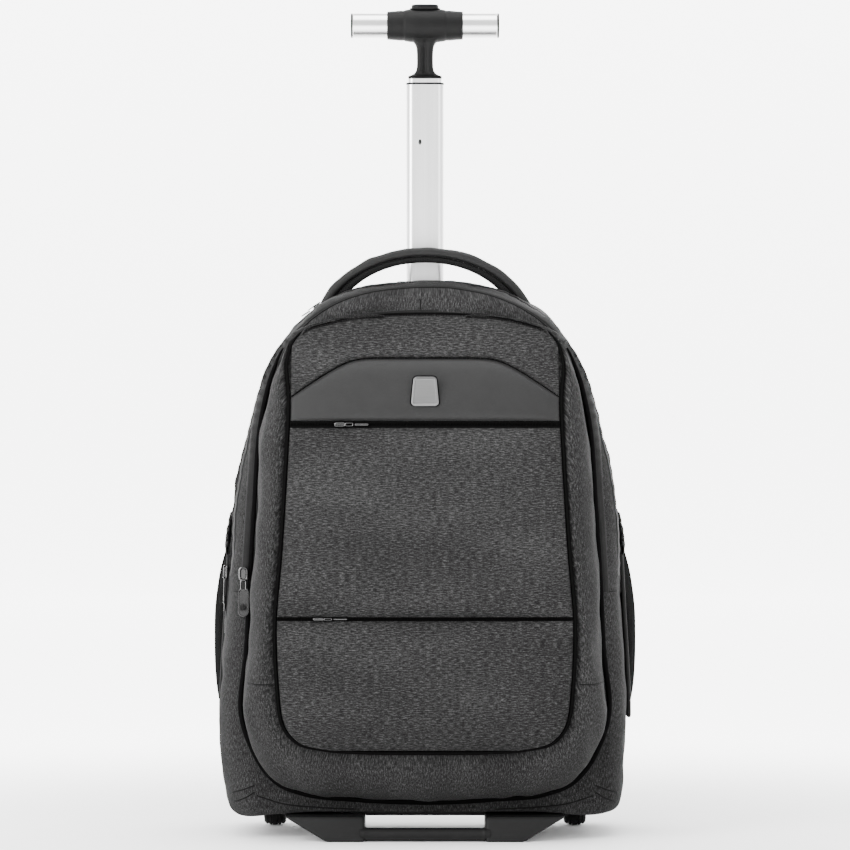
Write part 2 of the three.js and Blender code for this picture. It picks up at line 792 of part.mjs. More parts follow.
// The tape that shows between two panels
function makeZipStrip(name, z, height) {
  const shares = steps(8).map((s) => 2 * s - 1);
  const reach = faceHalfWidth(z) - panelInset;
  const grid = (y) =>
    [z - height / 2, z + height / 2].map((h) => shares.map((s) => at(s * reach, y(s * reach, h), h)));
  const strip = slab(
    grid((x, h) => faceY(x, h) - seamGap - panelEdge),
    grid((x, h) => faceY(x, h) + 3 * clothWall),
  );
  addPiece(name, "zip", strip.subtract(pouchClear));
}

const flapSkinAt = (x, z) => faceY(x, z) - seamGap - panelEdge - flapPuff;

function makeBadge() {
  const middle = bagLift + badgeLift;
  const [b, t, h] = [badgeBottom / 2, badgeTop / 2, badgeHeight / 2];
  const cut = 2.4;
  const shape = new THREE.Shape();
  shape.moveTo(-b + cut, middle - h);
  shape.lineTo(b - cut, middle - h);
  shape.quadraticCurveTo(b, middle - h, b - 0.3, middle - h + cut);
  shape.lineTo(t, middle + h - cut);
  shape.quadraticCurveTo(t - 0.3, middle + h, t - cut, middle + h);
  shape.lineTo(-t + cut, middle + h);
  shape.quadraticCurveTo(-t + 0.3, middle + h, -t, middle + h - cut);
  shape.lineTo(-b + 0.3, middle - h + cut);
  shape.quadraticCurveTo(-b, middle - h, -b + cut, middle - h);
  // It stands clear of the highest place of the bowed flap behind it.
  const heights = [middle - h, middle, middle + h];
  const skin = Math.min(...heights.map((z) => flapSkinAt(0, z)));
  const plate = plateAlongY(shape, skin - seamGap - badgeThickness, skin - seamGap, 3);
  addPiece("badge", "dark_metal", plate);
}

// Place, rising direction and outward direction on the right side of the bag's outline
const bagRight = bagShares.slice(0, bagShares.length / 2 + 1);
function outlineAt(z) {
  const up = (z - bagLift) / bagHeight;
  const i = Math.max(1, bagRight.findIndex((p) => p.y > up));
  const [low, high] = [bagRight[i - 1], bagRight[i]].map((p) =>
    at((p.x * bagWidth) / 2, 0, bagLift + p.y * bagHeight),
  );
  const place = low.clone().lerp(high, (z - low.z) / (high.z - low.z));
  const rising = high.clone().sub(low).normalize();
  return { place, rising, outward: at(rising.z, 0, -rising.x) };
}

// Half the bag's width at a depth and a height
function bagSide(y, z) {
  const inset = readTable(bagStations, "along", (y - bagFront) / bagDepth, "inset") * edgeRound;
  return outlineAt(z).place.x - inset;
}

function makeSidePockets() {
  const foot = bagLift + pocketFoot;
  const front = bagFront + pocketSetback;
  const mouth = (c) => pocketHeight - pocketSlant * (1 - c);
  const columns = steps(8);
  const bulge = (v, c) =>
    pocketBulge * readTable(pocketSwelling, "up", v, "swell") * Math.sin(Math.PI * c) ** 0.55;
  const sheet = (v, c, out) => {
    const z = foot + v * mouth(c);
    const y = front + c * pocketSpan;
    return at(bagSide(y, z) + seamGap + bulge(Math.min(1, v), c) + out, y, z);
  };
  const rows = pocketSwelling.map((row) => row.up);
  const grid = (out) => rows.map((v) => columns.map((c) => sheet(v, c, out)));
  const pocket = slab(grid(meshWall), grid(0)).subtract(bagClear);

  const hemRows = [seamGap, hemHeight * 0.5, hemHeight];
  const band = (out) =>
    hemRows.map((rise, i) =>
      columns.map((c) => {
        const full = i === 1 ? 0.5 : 0;
        const edge = sheet(1, c, out > 0 ? out + full : 0);
        return edge.setZ(edge.z + rise);
      }),
    );
  const hem = slab(band(hemWall), band(0)).subtract(bagClear);
  addPiece("side_pocket_right", "mesh", pocket);
  addPiece("side_pocket_left", "mesh", mirrored(pocket));
  addPiece("pocket_hem_right", "dark_cloth", hem);
  addPiece("pocket_hem_left", "dark_cloth", mirrored(hem));
}

function makeCarryHandle() {
  const middle = bagLift + handleCrest - handleRise;
  const frames = steps(22).map((share) => {
    const turn = Math.PI * share;
    const across = (handleSpread / 2) * Math.cos(turn);
    return {
      place: at(across, handleY, middle + handleRise * Math.sin(turn)),
      sideways: at(0, 1, 0),
      outward: at(Math.cos(turn) * handleRise, 0, (Math.sin(turn) * handleSpread) / 2).normalize(),
    };
  });
  const cover = sweep(frames, softRectangle(handleWidth, -handleCoverWall, 0, 2.6));
  const padTop = -handleCoverWall - seamGap;
  const pad = sweep(frames, softRectangle(handlePadWidth, padTop - handlePadWall, padTop, 1.4));
  addPiece("handle_cover", "smooth_leather", cover.subtract(bagClear));
  addPiece("handle_underside", "mesh", pad.subtract(bagClear));
}

function makeBackPad() {
  const ring = (y, drawn) =>
    bagShares.map((p) =>
      at(
        p.x * (bagWidth / 2 - backPadInset - drawn),
        y,
        bagLift + backPadFoot + drawn + p.y * (bagHeight - backPadFoot - backPadInset - 2 * drawn),
      ),
    );
  const skin = bagBack + seamGap;
  const rings = [
    ring(skin, 0),
    ring(skin + 0.45 * backPadThickness, 0),
    ring(skin + 0.82 * backPadThickness, 1.6),
    ring(padBack, 5),
  ];
  addPiece("back_pad", "mesh", loft(rings, null, null));
}

// A shoulder strap from its sewn end at the top of the pad to its narrow end, standing off the
// pad in between.
function strapPlace(share) {
  const out = THREE.MathUtils.lerp(strapTopOut, strapEndOut, share ** 1.5);
  const up = THREE.MathUtils.lerp(bagHeight - strapTopDrop, strapEndLift, share);
  const off = strapArch * Math.sin(Math.PI * share) ** 0.8;
  return at(out, padBack + Math.max(seamGap, off) + strapThickness / 2, bagLift + up);
}

function makeStraps() {
  const ends = 1e-3;
  const frames = steps(12).map((share) => {
    const along = strapPlace(Math.min(1, share + ends)).sub(strapPlace(Math.max(0, share - ends)));
    along.normalize();
    const sideways = at(-along.z, 0, along.x).normalize();
    const outward = along.clone().cross(sideways).normalize();
    if (outward.y < 0) outward.negate();
    return { place: strapPlace(share), sideways, outward, width: THREE.MathUtils.lerp(1, 0.8, share) };
  });
  const half = strapThickness / 2;
  const section = softRectangle(strapWidth, -half, half, 3);
  const rings = frames.map((f) =>
    section.map(([s, o]) =>
      f.place.clone().addScaledVector(f.sideways, s * f.width).addScaledVector(f.outward, o),
    ),
  );
  const strap = ringTube(rings);

  // The webbing leaves the strap's end and runs out to its anchor on the bag's back.
  const start = strapPlace(1);
  const anchor = at(bagWidth / 2 - webbingMargin, bagBack + seamGap + webbingThickness / 2, bagLift + webbingEndLift);
  const run = anchor.clone().sub(start).setY(0);
  const down = run.clone().normalize();
  const across = at(-down.z, 0, down.x);
  const buckleMiddle = start.clone().addScaledVector(down, seamGap + buckleHeight / 2);
  buckleMiddle.y = padBack + seamGap + buckleThickness / 2;
  const basis = new THREE.Matrix4().makeBasis(across, down, at(0, across.z * down.x - across.x * down.z, 0));
  basis.setPosition(buckleMiddle);
  const frame = roundedRectangle(buckleWidth, buckleHeight, 4);
  const slotHeight = 5;
  for (const shift of [-slotHeight * 1.2, slotHeight * 1.2]) {
    frame.holes.push(roundedRectangle(webbingWidth + 2, slotHeight, 1.2, 0, shift));
  }
  const plate = new THREE.ExtrudeGeometry(frame, { depth: buckleThickness, bevelEnabled: false, curveSegments: 3 });
  plate.translate(0, 0, -buckleThickness / 2);
  const buckle = solidOfGeometry(plate, basis).subtract(grown(strap, seamGap));

  const first = buckleMiddle.clone().addScaledVector(down, buckleHeight / 2 + seamGap);
  const length = anchor.clone().sub(first).setY(0).length();
  const leave = (first.z - bagLift - backPadFoot) / (first.z - anchor.z);
  const webbingFrames = [0, 0.3, 0.6, 0.9, 1].map((part) => part * leave);
  webbingFrames.push(...[0.2, 0.4, 0.6, 0.8, 1].map((part) => THREE.MathUtils.lerp(leave, 1, part)));
  const path = webbingFrames.map((share) => {
    const place = first.clone().addScaledVector(down, share * length);
    const settle = THREE.MathUtils.smoothstep(share, leave, 1);
    place.y = THREE.MathUtils.lerp(padBack + seamGap + webbingThickness, anchor.y, settle);
    return { place, sideways: across, outward: at(0, 1, 0) };
  });
  const half2 = webbingThickness / 2;
  const webbing = sweep(path, [
    [-webbingWidth / 2, -half2],
    [webbingWidth / 2, -half2],
    [webbingWidth / 2, half2],
    [-webbingWidth / 2, half2],
  ]);
  for (const [side, turned] of [["right", (s) => s], ["left", mirrored]]) {
    addPiece(`shoulder_strap_${side}`, "melange", turned(strap));
    addPiece(`strap_buckle_${side}`, "black_plastic", turned(buckle));
    addPiece(`strap_webbing_${side}`, "webbing", turned(webbing.subtract(bagClear)));
  }
}

// A rounded rectangular tube round the pole's axis
function poleTube(width, depth, wall, from, to) {
  const outer = postAlongZ(roundedRectangle(width, depth, poleCorner, 0, poleY), from, to);
  const inner = postAlongZ(
    roundedRectangle(width - 2 * wall, depth - 2 * wall, poleCorner - wall, 0, poleY),
    from - 1,
    to + 1,
  );
  return outer.subtract(inner);
}
const upperWidth = poleWidth - 2 * (poleWall + slideGap);
const upperDepth = poleDepth - 2 * (poleWall + slideGap);
const sleeveWidth = poleWidth + 2 * (slideGap + sleeveWall);
const sleeveDepth = poleDepth + 2 * (slideGap + sleeveWall);
const bezelTop = bagLift + bagHeight + bezelRise;
const upperTop = lowerStageTop + bushingHeight + upperStageShow;
const trayTop = bagLift - seamGap;

function makePole() {
  const neckFoot = bagLift + bagHeight - bezelHeight;
  const neckWidth = bezelWidth - 2 * bezelLip;
  const neckDepth = bezelDepth - 2 * bezelLip;
  addPiece(
    "pole_sleeve",
    "black_plastic",
    poleTube(sleeveWidth, sleeveDepth, sleeveWall, bagLift, neckFoot - seamGap).intersect(bagSpace),
  );
  const collar = postAlongZ(roundedRectangle(bezelWidth, bezelDepth, poleCorner, 0, poleY), neckFoot, bezelTop);
  const neck = postAlongZ(roundedRectangle(neckWidth, neckDepth, poleCorner - 1, 0, poleY), neckFoot, bezelTop);
  const passage = postAlongZ(
    roundedRectangle(poleWidth + 2 * slideGap, poleDepth + 2 * slideGap, poleCorner, 0, poleY),
    neckFoot - 1,
    bezelTop + 1,
  );
  addPiece("pole_bezel", "black_plastic", collar.subtract(bagClear).add(neck).subtract(passage));

  const lowerFoot = lowerStageTop - lowerStageLength;
  addPiece("lower_stage", "aluminium", poleTube(poleWidth, poleDepth, poleWall, lowerFoot, lowerStageTop));
  addPiece(
    "lower_stage_bushing",
    "black_plastic",
    poleTube(poleWidth, poleDepth, poleWall + slideGap / 2, lowerStageTop + seamGap / 3, lowerStageTop + bushingHeight),
  );
  const upperFoot = upperTop - upperStageLength;
  addPiece("upper_stage", "aluminium", poleTube(upperWidth, upperDepth, poleWall, upperFoot, upperTop));
}

function makeGrip() {
  const flangeFoot = upperTop + seamGap;
  const stemTop = flangeFoot + flangeHeight + stemLength;
  const axis = stemTop + barrelHeight / 2 - 1;
  const middle = at(0, poleY, axis);
  const half = barrelWidth / 2;
  const tubeRadius = gripTubeDiameter / 2;
  const barrel = turnedAlongX(
    [
      [0, -half],
      [barrelEndHeight / 2 - 0.8, -half],
      [barrelEndHeight / 2, -half + 0.8],
      [barrelEndHeight / 2 + 0.5, -half * 0.8],
      [barrelHeight / 2 - 0.5, -half * 0.45],
      [barrelHeight / 2, -half * 0.2],
      [barrelHeight / 2, half * 0.2],
      [barrelHeight / 2 - 0.5, half * 0.45],
      [barrelEndHeight / 2 + 0.5, half * 0.8],
      [barrelEndHeight / 2, half - 0.8],
      [barrelEndHeight / 2 - 0.8, half],
      [0, half],
    ],
    middle,
    16,
  );
  const socket = (sign) =>
    turnedAlongX(
      [
        [0, 0],
        [tubeRadius + seamGap, 0],
        [tubeRadius + seamGap, socketDepth + 1],
        [0, socketDepth + 1],
      ],
      at(sign > 0 ? half - socketDepth : -half - 1, poleY, axis),
      16,
    );
  const post = (width, depth, from, to) =>
    postAlongZ(roundedRectangle(width, depth, Math.min(width, depth) * 0.35, 0, poleY), from, to);
  const flange = post(flangeWidth, flangeDepth, flangeFoot, flangeFoot + flangeHeight);
  // The stem flares out to the flange and to the barrel.
  const flares = [
    [2, 4.2],
    [3.4, 2],
  ].map(([rise, spread]) =>
    post(stemWidth + 2 * spread, stemDepth + spread, flangeFoot, flangeFoot + flangeHeight + rise),
  );
  const stem = post(stemWidth, stemDepth, flangeFoot, axis);
  const plugSpace = poleWall + seamGap;
  const plug = postAlongZ(
    roundedRectangle(
      upperWidth - 2 * plugSpace,
      upperDepth - 2 * plugSpace,
      poleCorner - plugSpace,
      0,
      poleY,
    ),
    upperTop - plugLength,
    flangeFoot + 1,
  );
  const buttonHole = postAlongZ(
    roundedRectangle(buttonWidth + 2 * seamGap, buttonDepth + 2 * seamGap, buttonDepth / 2, 0, poleY),
    axis + barrelHeight / 2 - buttonSocket,
    axis + barrelHeight,
    4,
  );
  const grip = [flange, ...flares, stem, plug]
    .reduce((sum, solid) => sum.add(solid), barrel)
    .subtract(socket(1))
    .subtract(socket(-1))
    .subtract(buttonHole);
  addPiece("grip_body", "black_plastic", grip);

  const tubeEnd = gripWidth / 2 - endCapThickness - seamGap;
  const tubeStart = half - socketDepth + seamGap;
  const innerRadius = tubeRadius - gripTubeWall;
  const tube = turnedAlongX(
    [
      [innerRadius, tubeStart],
      [tubeRadius, tubeStart],
      [tubeRadius, tubeEnd],
      [innerRadius, tubeEnd],
      [innerRadius, tubeStart],
    ],
    middle,
    16,
  );
  const capPlug = innerRadius - seamGap;
  const cap = turnedAlongX(
    [
      [0, tubeEnd - endCapThickness * 3],
      [capPlug, tubeEnd - endCapThickness * 3],
      [capPlug, tubeEnd + seamGap],
      [tubeRadius, tubeEnd + seamGap],
      [tubeRadius, gripWidth / 2 - 0.6],
      [tubeRadius - 0.8, gripWidth / 2],
      [0, gripWidth / 2],
    ],
    middle,
    16,
  );
  addPiece("grip_tube_right", "aluminium", tube);
  addPiece("grip_tube_left", "aluminium", mirrored(tube));
  addPiece("grip_cap_right", "black_plastic", cap);
  addPiece("grip_cap_left", "black_plastic", mirrored(cap));

  const crown = axis + barrelHeight / 2;
  const button = postAlongZ(
    roundedRectangle(buttonWidth, buttonDepth, buttonDepth / 2 - 0.1, 0, poleY),
    crown - buttonSocket + buttonStroke + seamGap,
    crown + buttonRise,
    4,
  );
  addPiece("grip_button", "black_plastic", button);
}

function makeBase() {
  const low = bagLift - trayThickness;
  const behind = boxSolid(at(-wide, bagBack + housingWall, -wide), at(wide, wide, wide));
  const outer = archSolid(housingOuterRadius, housingOuterWidth, low, bagBack).subtract(behind);
  const inner = archSolid(housingInnerRadius, housingInnerWidth, -1, bagBack + bagDepth);
  const pinHole = turnedAlongX(
    [
      [0, -housingOuterWidth],
      [axleDiameter / 2 + axleGap, -housingOuterWidth],
      [axleDiameter / 2 + axleGap, housingOuterWidth],
      [0, housingOuterWidth],
    ],
    at(wheelX, wheelY, wheelZ),
    12,
  );
  const housing = outer.subtract(inner).subtract(pinHole);
  const tray = boxSolid(at(-trayWidth / 2, bagFront + trayFront, low), at(trayWidth / 2, bagBack - edgeRound / 2, trayTop));
  const base = tray
    .subtract(outer)
    .subtract(mirrored(outer))
    .add(housing)
    .add(mirrored(housing))
    .subtract(inner)
    .subtract(mirrored(inner));
  addPiece("base_tray", "base_plastic", base);

  // Each foot leans out towards its top and back from its toe.
  const top = trayTop;
  const toe = bagFront - footAhead;
  const corner = (x, y, z) => [x, y, z];
  const foot = wasm.Manifold.hull([
    corner(footInner, toe, 1.2),
    corner(footInner + footBottomWidth, toe, 1.2),
    corner(footInner + 1, toe + 1.4, 0),
    corner(footInner + footBottomWidth - 1, toe + 1.4, 0),
    corner(footInner + 1, toe + footDepth - 3, 0),
    corner(footInner + footBottomWidth - 1, toe + footDepth - 3, 0),
    corner(footInner, toe + footDepth, 2),
    corner(footInner + footBottomWidth, toe + footDepth, 2),
    corner(footInner, toe + 5, top - 1),
    corner(footInner + footTopWidth, toe + 5, top - 1.5),
    corner(footInner, toe + 6, top),
    corner(footInner + footTopWidth - 1, toe + 6, top),
    corner(footInner, toe + footDepth, top),
    corner(footInner + footTopWidth - 1, toe + footDepth, top),
    corner(footInner + footTopWidth, toe + footDepth, top - 1.5),
  ]);
  const barMiddle = at(0, toe + barDiameter / 2 + 0.6, barLift + barDiameter / 2);
  const reach = footInner + 4;
  const bar = turnedAlongX(
    [
      [0, -reach],
      [barDiameter / 2, -reach],
      [barDiameter / 2, reach],
      [0, reach],
    ],
    barMiddle,
    20,
  );
  const trayClear = boxSolid(
    at(-wide, bagFront + trayFront - seamGap, low - seamGap),
    at(wide, bagBack, trayTop + 1),
  );
  const feet = foot.add(mirrored(foot)).add(bar);
  addPiece("front_feet", "base_plastic", feet.subtract(trayClear));
}

function makeWheels() {
  const half = wheelWidth / 2;
  const rim = wheelDiameter / 2;
  const hub = hubDiameter / 2;
  const middle = at(wheelX, wheelY, wheelZ);
  const tyre = turnedAlongX(
    [
      [hub + seamGap / 3, -half + 1],
      [rim - 5, -half],
      [rim - 1.4, -half + 2.4],
      [rim, -half * 0.35],
      [rim, half * 0.35],
      [rim - 1.4, half - 2.4],
      [rim - 5, half],
      [hub + seamGap / 3, half - 1],
      [hub + seamGap / 3, -half + 1],
    ],
    middle,
    20,
  );
  const bore = axleDiameter / 2 + axleGap;
  const boss = axleDiameter / 2 + 4;
  const hubSolid = turnedAlongX(
    [
      [bore, -half - 1],
      [boss, -half - 1],
      [boss, -half + 3],
      [hub - 3, -half + 3],
      [hub, -half + 1],
      [hub, half - 1],
      [hub - 3, half - 3],
      [boss, half - 3],
      [boss, half + 1],
      [bore, half + 1],
      [bore, -half - 1],
    ],
    middle,
    20,
  );
  const reach = housingOuterWidth / 2;
  const pin = turnedAlongX(
    [
      [0, -reach],
      [axleDiameter / 2, -reach],
      [axleDiameter / 2, reach],
      [0, reach],
    ],
    middle,
    12,
  );
  for (const [side, turned] of [["right", (s) => s], ["left", mirrored]]) {
    addPiece(`tyre_${side}`, "tyre", turned(tyre));
    addPiece(`hub_${side}`, "base_plastic", turned(hubSolid));
    addPiece(`axle_${side}`, "dark_metal", turned(pin));
  }
}

// A zip slider's body and bridge, centred on the origin with its zip along Y and its top up Z.
function sliderSolid() {
  const body = roundedRectangle(sliderWidth, sliderLength, 2.2);
  const plate = postAlongZ(body, 0, sliderThickness * 0.45, 3);
  const bridge = boxSolid(at(-1.6, -sliderLength * 0.36, 0), at(1.6, sliderLength * 0.36, sliderThickness));
  return plate.add(bridge);
}

// A pull that hangs from the slider: a narrow link, then a tab with a plain hole.
function pullSolid(length, width) {
  const neck = 3.2;
  const shape = new THREE.Shape();
  const tabTop = -length * 0.28;
  shape.moveTo(-neck / 2, 0);
  shape.lineTo(-neck / 2, tabTop);
  shape.lineTo(-width / 2, tabTop - 2);
  shape.lineTo(-width / 2, -length + width / 2);
  shape.absarc(0, -length + width / 2, width / 2, Math.PI, 2 * Math.PI);
  shape.lineTo(width / 2, tabTop - 2);
  shape.lineTo(neck / 2, tabTop);
  shape.lineTo(neck / 2, 0);
  const hole = new THREE.Path();
  hole.absarc(0, -length * 0.62, width * 0.27, 0, 2 * Math.PI, true);
  shape.holes.push(hole);
  return postAlongZ(shape, 0, pullThickness, 5);
}

function makeSliders() {
  const sideways = at(0, 1, 0);
  // On the closed main zip: one at its left end, one beside the handle's left foot
  const sides = [
    { name: "side", z: bagLift + mainZipFoot + sliderLength * 1.4, pull: pullLength * 1.5, width: 8 },
    { name: "top", z: bagLift + bagHeight * 0.951, pull: pullLength * 0.5, width: 8 },
  ];
  for (const { name, z, pull, width } of sides) {
    const { place, rising, outward } = outlineAt(z);
    place.y = zipY;
    place.addScaledVector(outward, coilRise + seamGap);
    const seat = new THREE.Matrix4().makeBasis(sideways, rising, outward.clone());
    if (seat.determinant() < 0) seat.makeBasis(sideways.clone().negate(), rising, outward);
    seat.setPosition(place);
    const raised = new THREE.Matrix4().makeTranslation(0, -sliderLength / 2 - seamGap, 0.4);
    const slider = moved(sliderSolid(), seat);
    const hanging = moved(pullSolid(pull, width), seat.clone().multiply(raised));
    addPiece(`${name}_zip_slider`, "dark_metal", mirrored(slider));
    addPiece(`${name}_zip_pull`, "dark_metal", mirrored(hanging.subtract(grown(bagOuter, coilRise + seamGap))));
  }

  // On the front zip, on the front face
  const z = bagLift + mainZipFoot + sliderLength * 1.4;
  const out = outlineAt(z).place.x - edgeRound - 0.5;
  const skin = bagFront - bagForward(out, z) - frontTapeWall - 2 * seamGap;
  const facing = new THREE.Matrix4().makeBasis(at(1, 0, 0), at(0, 0, 1), at(0, -1, 0));
  facing.setPosition(-out, skin, z);
  const tapeClear = grown(bagOuter, frontTapeWall + 2 * seamGap);
  addPiece("front_zip_slider", "dark_metal", moved(sliderSolid(), facing).subtract(tapeClear));
  const lean = new THREE.Matrix4().makeRotationX(-0.06);
  lean.setPosition(0, -sliderLength / 2 - seamGap, 1.4);
  const hanging = moved(pullSolid(pullLength, pullWidth), facing.clone().multiply(lean));
  addPiece("front_zip_pull", "dark_metal", hanging.subtract(bagClear).subtract(pouchClear));

  // In the recesses between the front panels
  const pockets = [
    { name: "upper_pocket_slider", z: bagLift + upperZipHeight, x: -82, gap: upperZipGap },
    { name: "lower_pocket_slider", z: bagLift + lowerZipHeight, x: -100, gap: lowerZipGap },
  ];
  for (const { name, z: height, x, gap } of pockets) {
    const tall = gap - 2 * seamGap;
    const corners = [x, x + 14].flatMap((side) =>
      [height - tall / 2, height + tall / 2].map((level) => faceY(side, level)),
    );
    const front = Math.min(...corners) - panelEdge - 2 * seamGap;
    const body = boxSolid(at(x, front - 5, height - tall / 2), at(x + 14, front, height + tall / 2));
    const tab = boxSolid(at(x + 13, front - 4.4, height - tall * 0.4), at(x + 36, front - 2.6, height + tall * 0.4));
    addPiece(name, "dark_metal", body.add(tab).subtract(bagClear));
  }
}

makeBag();
makeFrontCompartment();
makePanels();
makeBadge();
makeSidePockets();
makeCarryHandle();
makeBackPad();
makeStraps();
makePole();
makeGrip();
makeBase();
makeWheels();
makeSliders();

// The origin goes under the middle of everything built.
const extent = new THREE.Box3().setFromObject(group);
for (const piece of group.children) {
  piece.geometry.translate(0, -(extent.min.y + extent.max.y) / 2, 0);
}

export default group;
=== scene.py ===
# %% [markdown]
# # A wheeled backpack, dressed in cloth
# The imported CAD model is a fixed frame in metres: it says where every piece is and how the
# pole, the button and the wheels move. Blender adds what solids can't carry: cloth that rolls
# into its seams, zips with coils, net, stitching and brushed metal. Each new piece is a surface
# worked out with numpy in millimetres, put in the frame's place, and told which body it rides.

# %% Load the frame and keep the CAD box
import math

import bmesh
import bpy
import numpy as np
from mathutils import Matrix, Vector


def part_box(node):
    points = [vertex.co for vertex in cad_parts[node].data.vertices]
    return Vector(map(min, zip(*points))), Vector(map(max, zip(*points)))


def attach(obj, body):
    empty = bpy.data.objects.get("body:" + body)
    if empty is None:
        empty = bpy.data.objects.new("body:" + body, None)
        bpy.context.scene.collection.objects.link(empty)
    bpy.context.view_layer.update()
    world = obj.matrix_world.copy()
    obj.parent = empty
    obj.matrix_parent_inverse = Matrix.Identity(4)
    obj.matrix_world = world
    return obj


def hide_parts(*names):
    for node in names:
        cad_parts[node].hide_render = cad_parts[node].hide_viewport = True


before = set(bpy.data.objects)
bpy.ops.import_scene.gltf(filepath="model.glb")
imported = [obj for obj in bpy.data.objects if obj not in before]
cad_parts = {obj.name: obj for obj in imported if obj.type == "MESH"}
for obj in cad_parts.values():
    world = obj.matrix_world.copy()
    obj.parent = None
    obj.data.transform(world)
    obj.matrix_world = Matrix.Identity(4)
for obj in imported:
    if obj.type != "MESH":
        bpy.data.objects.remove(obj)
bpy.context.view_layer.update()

print("CAD nodes:", len(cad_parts))

# %% [markdown]
# ## Sizes
# The same named sizes as the CAD source, in millimetres, so that the cloth lands on its solids.
# The source is drawn in shares of the bag's height and width, which makes one table serve both.

# %% Sizes shared with the frame
bag_width = 364
bag_height = 473
bag_depth = 120
bag_lift = 22
bag_front = -27.61
bag_back = bag_front + bag_depth
edge_round = 17
pouch_width = 320
pouch_height = 430
pouch_lift = 14
pouch_depth = 78
face_width = 262
face_height = 385
face_lift = 58
zip_y = -2.61
zip_foot = bag_lift + 195
pole_y = 74.39
wheel_y = 70.39
wheel_radius = 30
print("bag", bag_width, "x", bag_depth, "x", bag_height, "mm")

# %% [markdown]
# ## Curves
# A sewn outline is never straight lines and arcs. A Catmull-Rom curve passes through a few
# measured points and rounds between them, so a short table is enough for a whole outline.

# %% Smooth lines through a few points
def smooth_line(points, per_gap=24, closed=False):
    """A cubic in each gap between two points. Its end slopes come from the neighbours, timed by
    the square root of each spacing, which keeps tight corners from looping."""
    points = np.asarray(points, float)
    if closed:
        points = np.vstack([points[-1:], points, points[:2]])
    else:
        before = 2 * points[:1] - points[1:2]
        after = 2 * points[-1:] - points[-2:-1]
        points = np.vstack([before, points, after])
    a, b, c, d = points[:-3], points[1:-2], points[2:-1], points[3:]
    ab, bc, cd = (
        np.sqrt(np.linalg.norm(q - p, axis=1, keepdims=True)) + 1e-9
        for p, q in ((a, b), (b, c), (c, d))
    )
    leave = ((b - a) / ab - (c - a) / (ab + bc) + (c - b) / bc) * bc
    arrive = ((c - b) / bc - (d - b) / (bc + cd) + (d - c) / cd) * bc
    t = (np.arange(per_gap) / per_gap)[None, :, None]
    b, c, leave, arrive = (v[:, None, :] for v in (b, c, leave, arrive))
    line = (2 * t**3 - 3 * t**2 + 1) * b + (t**3 - 2 * t**2 + t) * leave
    line = line + (3 * t**2 - 2 * t**3) * c + (t**3 - t**2) * arrive
    line = line.reshape(-1, points.shape[1])
    return line if closed else np.vstack([line, points[-2]])


def run_along(line):
    """The length walked up to each point of a line."""
    return np.concatenate([[0], np.cumsum(np.linalg.norm(np.diff(line, axis=0), axis=1))])


def read_line(line, run, places):
    """Each coordinate read off against the length walked."""
    return np.stack([np.interp(places, run, line[:, k]) for k in range(line.shape[1])], axis=1)


def even_steps(line, count):
    """Points at equal steps along a line."""
    run = run_along(line)
    return read_line(line, run, np.linspace(0, run[-1], count))


def outline(table):
    """The right side's shares, mirrored to the left, as one closed curve from the foot's middle."""
    right = np.array(table, float)
    left = right[-2:0:-1] * (-1, 1)
    loop = smooth_line(np.vstack([right, left]), 24, closed=True)
    return np.vstack([loop, loop[:1]])


# %% The three outlines, as shares of their half width and height
bag_table = [
    (0, 0), (0.55, 0), (0.924, 0.001), (0.962, 0.02), (0.98, 0.09), (1, 0.17), (0.977, 0.38),
    (0.945, 0.56), (0.886, 0.7), (0.806, 0.81), (0.66, 0.908), (0.38, 0.98), (0, 1),
]
pouch_table = [
    (0, 0), (0.4, 0.006), (0.66, 0.016), (0.82, 0.042), (0.93, 0.097), (1, 0.18), (0.97, 0.3),
    (0.952, 0.44), (0.925, 0.61), (0.896, 0.763), (0.823, 0.879), (0.745, 0.937), (0.52, 0.978),
    (0, 1),
]
face_table = [
    (0, 0), (0.4, 0.001), (0.68, 0.008), (0.87, 0.028), (0.955, 0.071), (0.985, 0.15),
    (1, 0.293), (0.965, 0.45), (0.93, 0.66), (0.915, 0.8), (0.93, 0.885), (0.88, 0.94),
    (0.62, 0.982), (0, 1),
]
bag_loop = outline(bag_table)
pouch_loop = outline(pouch_table)
face_loop = outline(face_table)
around = 560
mean_loop = pouch_loop * (pouch_width / 2, pouch_height) + face_loop * (face_width / 2, face_height)
mean_run = run_along(mean_loop)
even_places = np.linspace(0, mean_run[-1], around + 1)
pouch_loop = read_line(pouch_loop, mean_run, even_places)
face_loop = read_line(face_loop, mean_run, even_places)
bag_loop = even_steps(bag_loop * (bag_width / 2, bag_height), around + 1) / (bag_width / 2, bag_height)
print("outline points:", len(bag_loop), len(pouch_loop), len(face_loop))

# %% Where the bag's and the front face's skins are
def rising(table_up):
    """The same heights, none lower than the one before it, so that they can be looked up."""
    return np.maximum.accumulate(table_up) + np.arange(len(table_up)) * 1e-9


def bag_lean(x, z):
    """The bag's foot leans forward, and its middle is crowned ahead of its sides."""
    up = np.clip((z - bag_lift) / bag_height, 0, 1)
    out = np.minimum(1, np.abs(2 * x / bag_width))
    return 20 * (1 - up) ** 1.5 + 8 * (1 - out**2)


face_deep = np.array([
    (0, 0.94), (0.1, 1), (0.3, 0.96), (0.52, 0.85), (0.7, 0.72), (0.83, 0.57), (0.93, 0.36),
    (1, 0.12),
])
face_deep_line = smooth_line(face_deep, 24)


def face_y(x, z):
    """How far forward the front face stands: a depth read off by height, and a low crown."""
    up = (z - bag_lift - face_lift) / face_height
    deep = np.interp(up, rising(face_deep_line[:, 0]), face_deep_line[:, 1]) * pouch_depth
    across = np.minimum(1, (2 * x / face_width) ** 2)
    crown = 4 * (1 - across) * np.sin(np.pi * np.clip(up, 0, 1))
    return bag_front - deep - crown


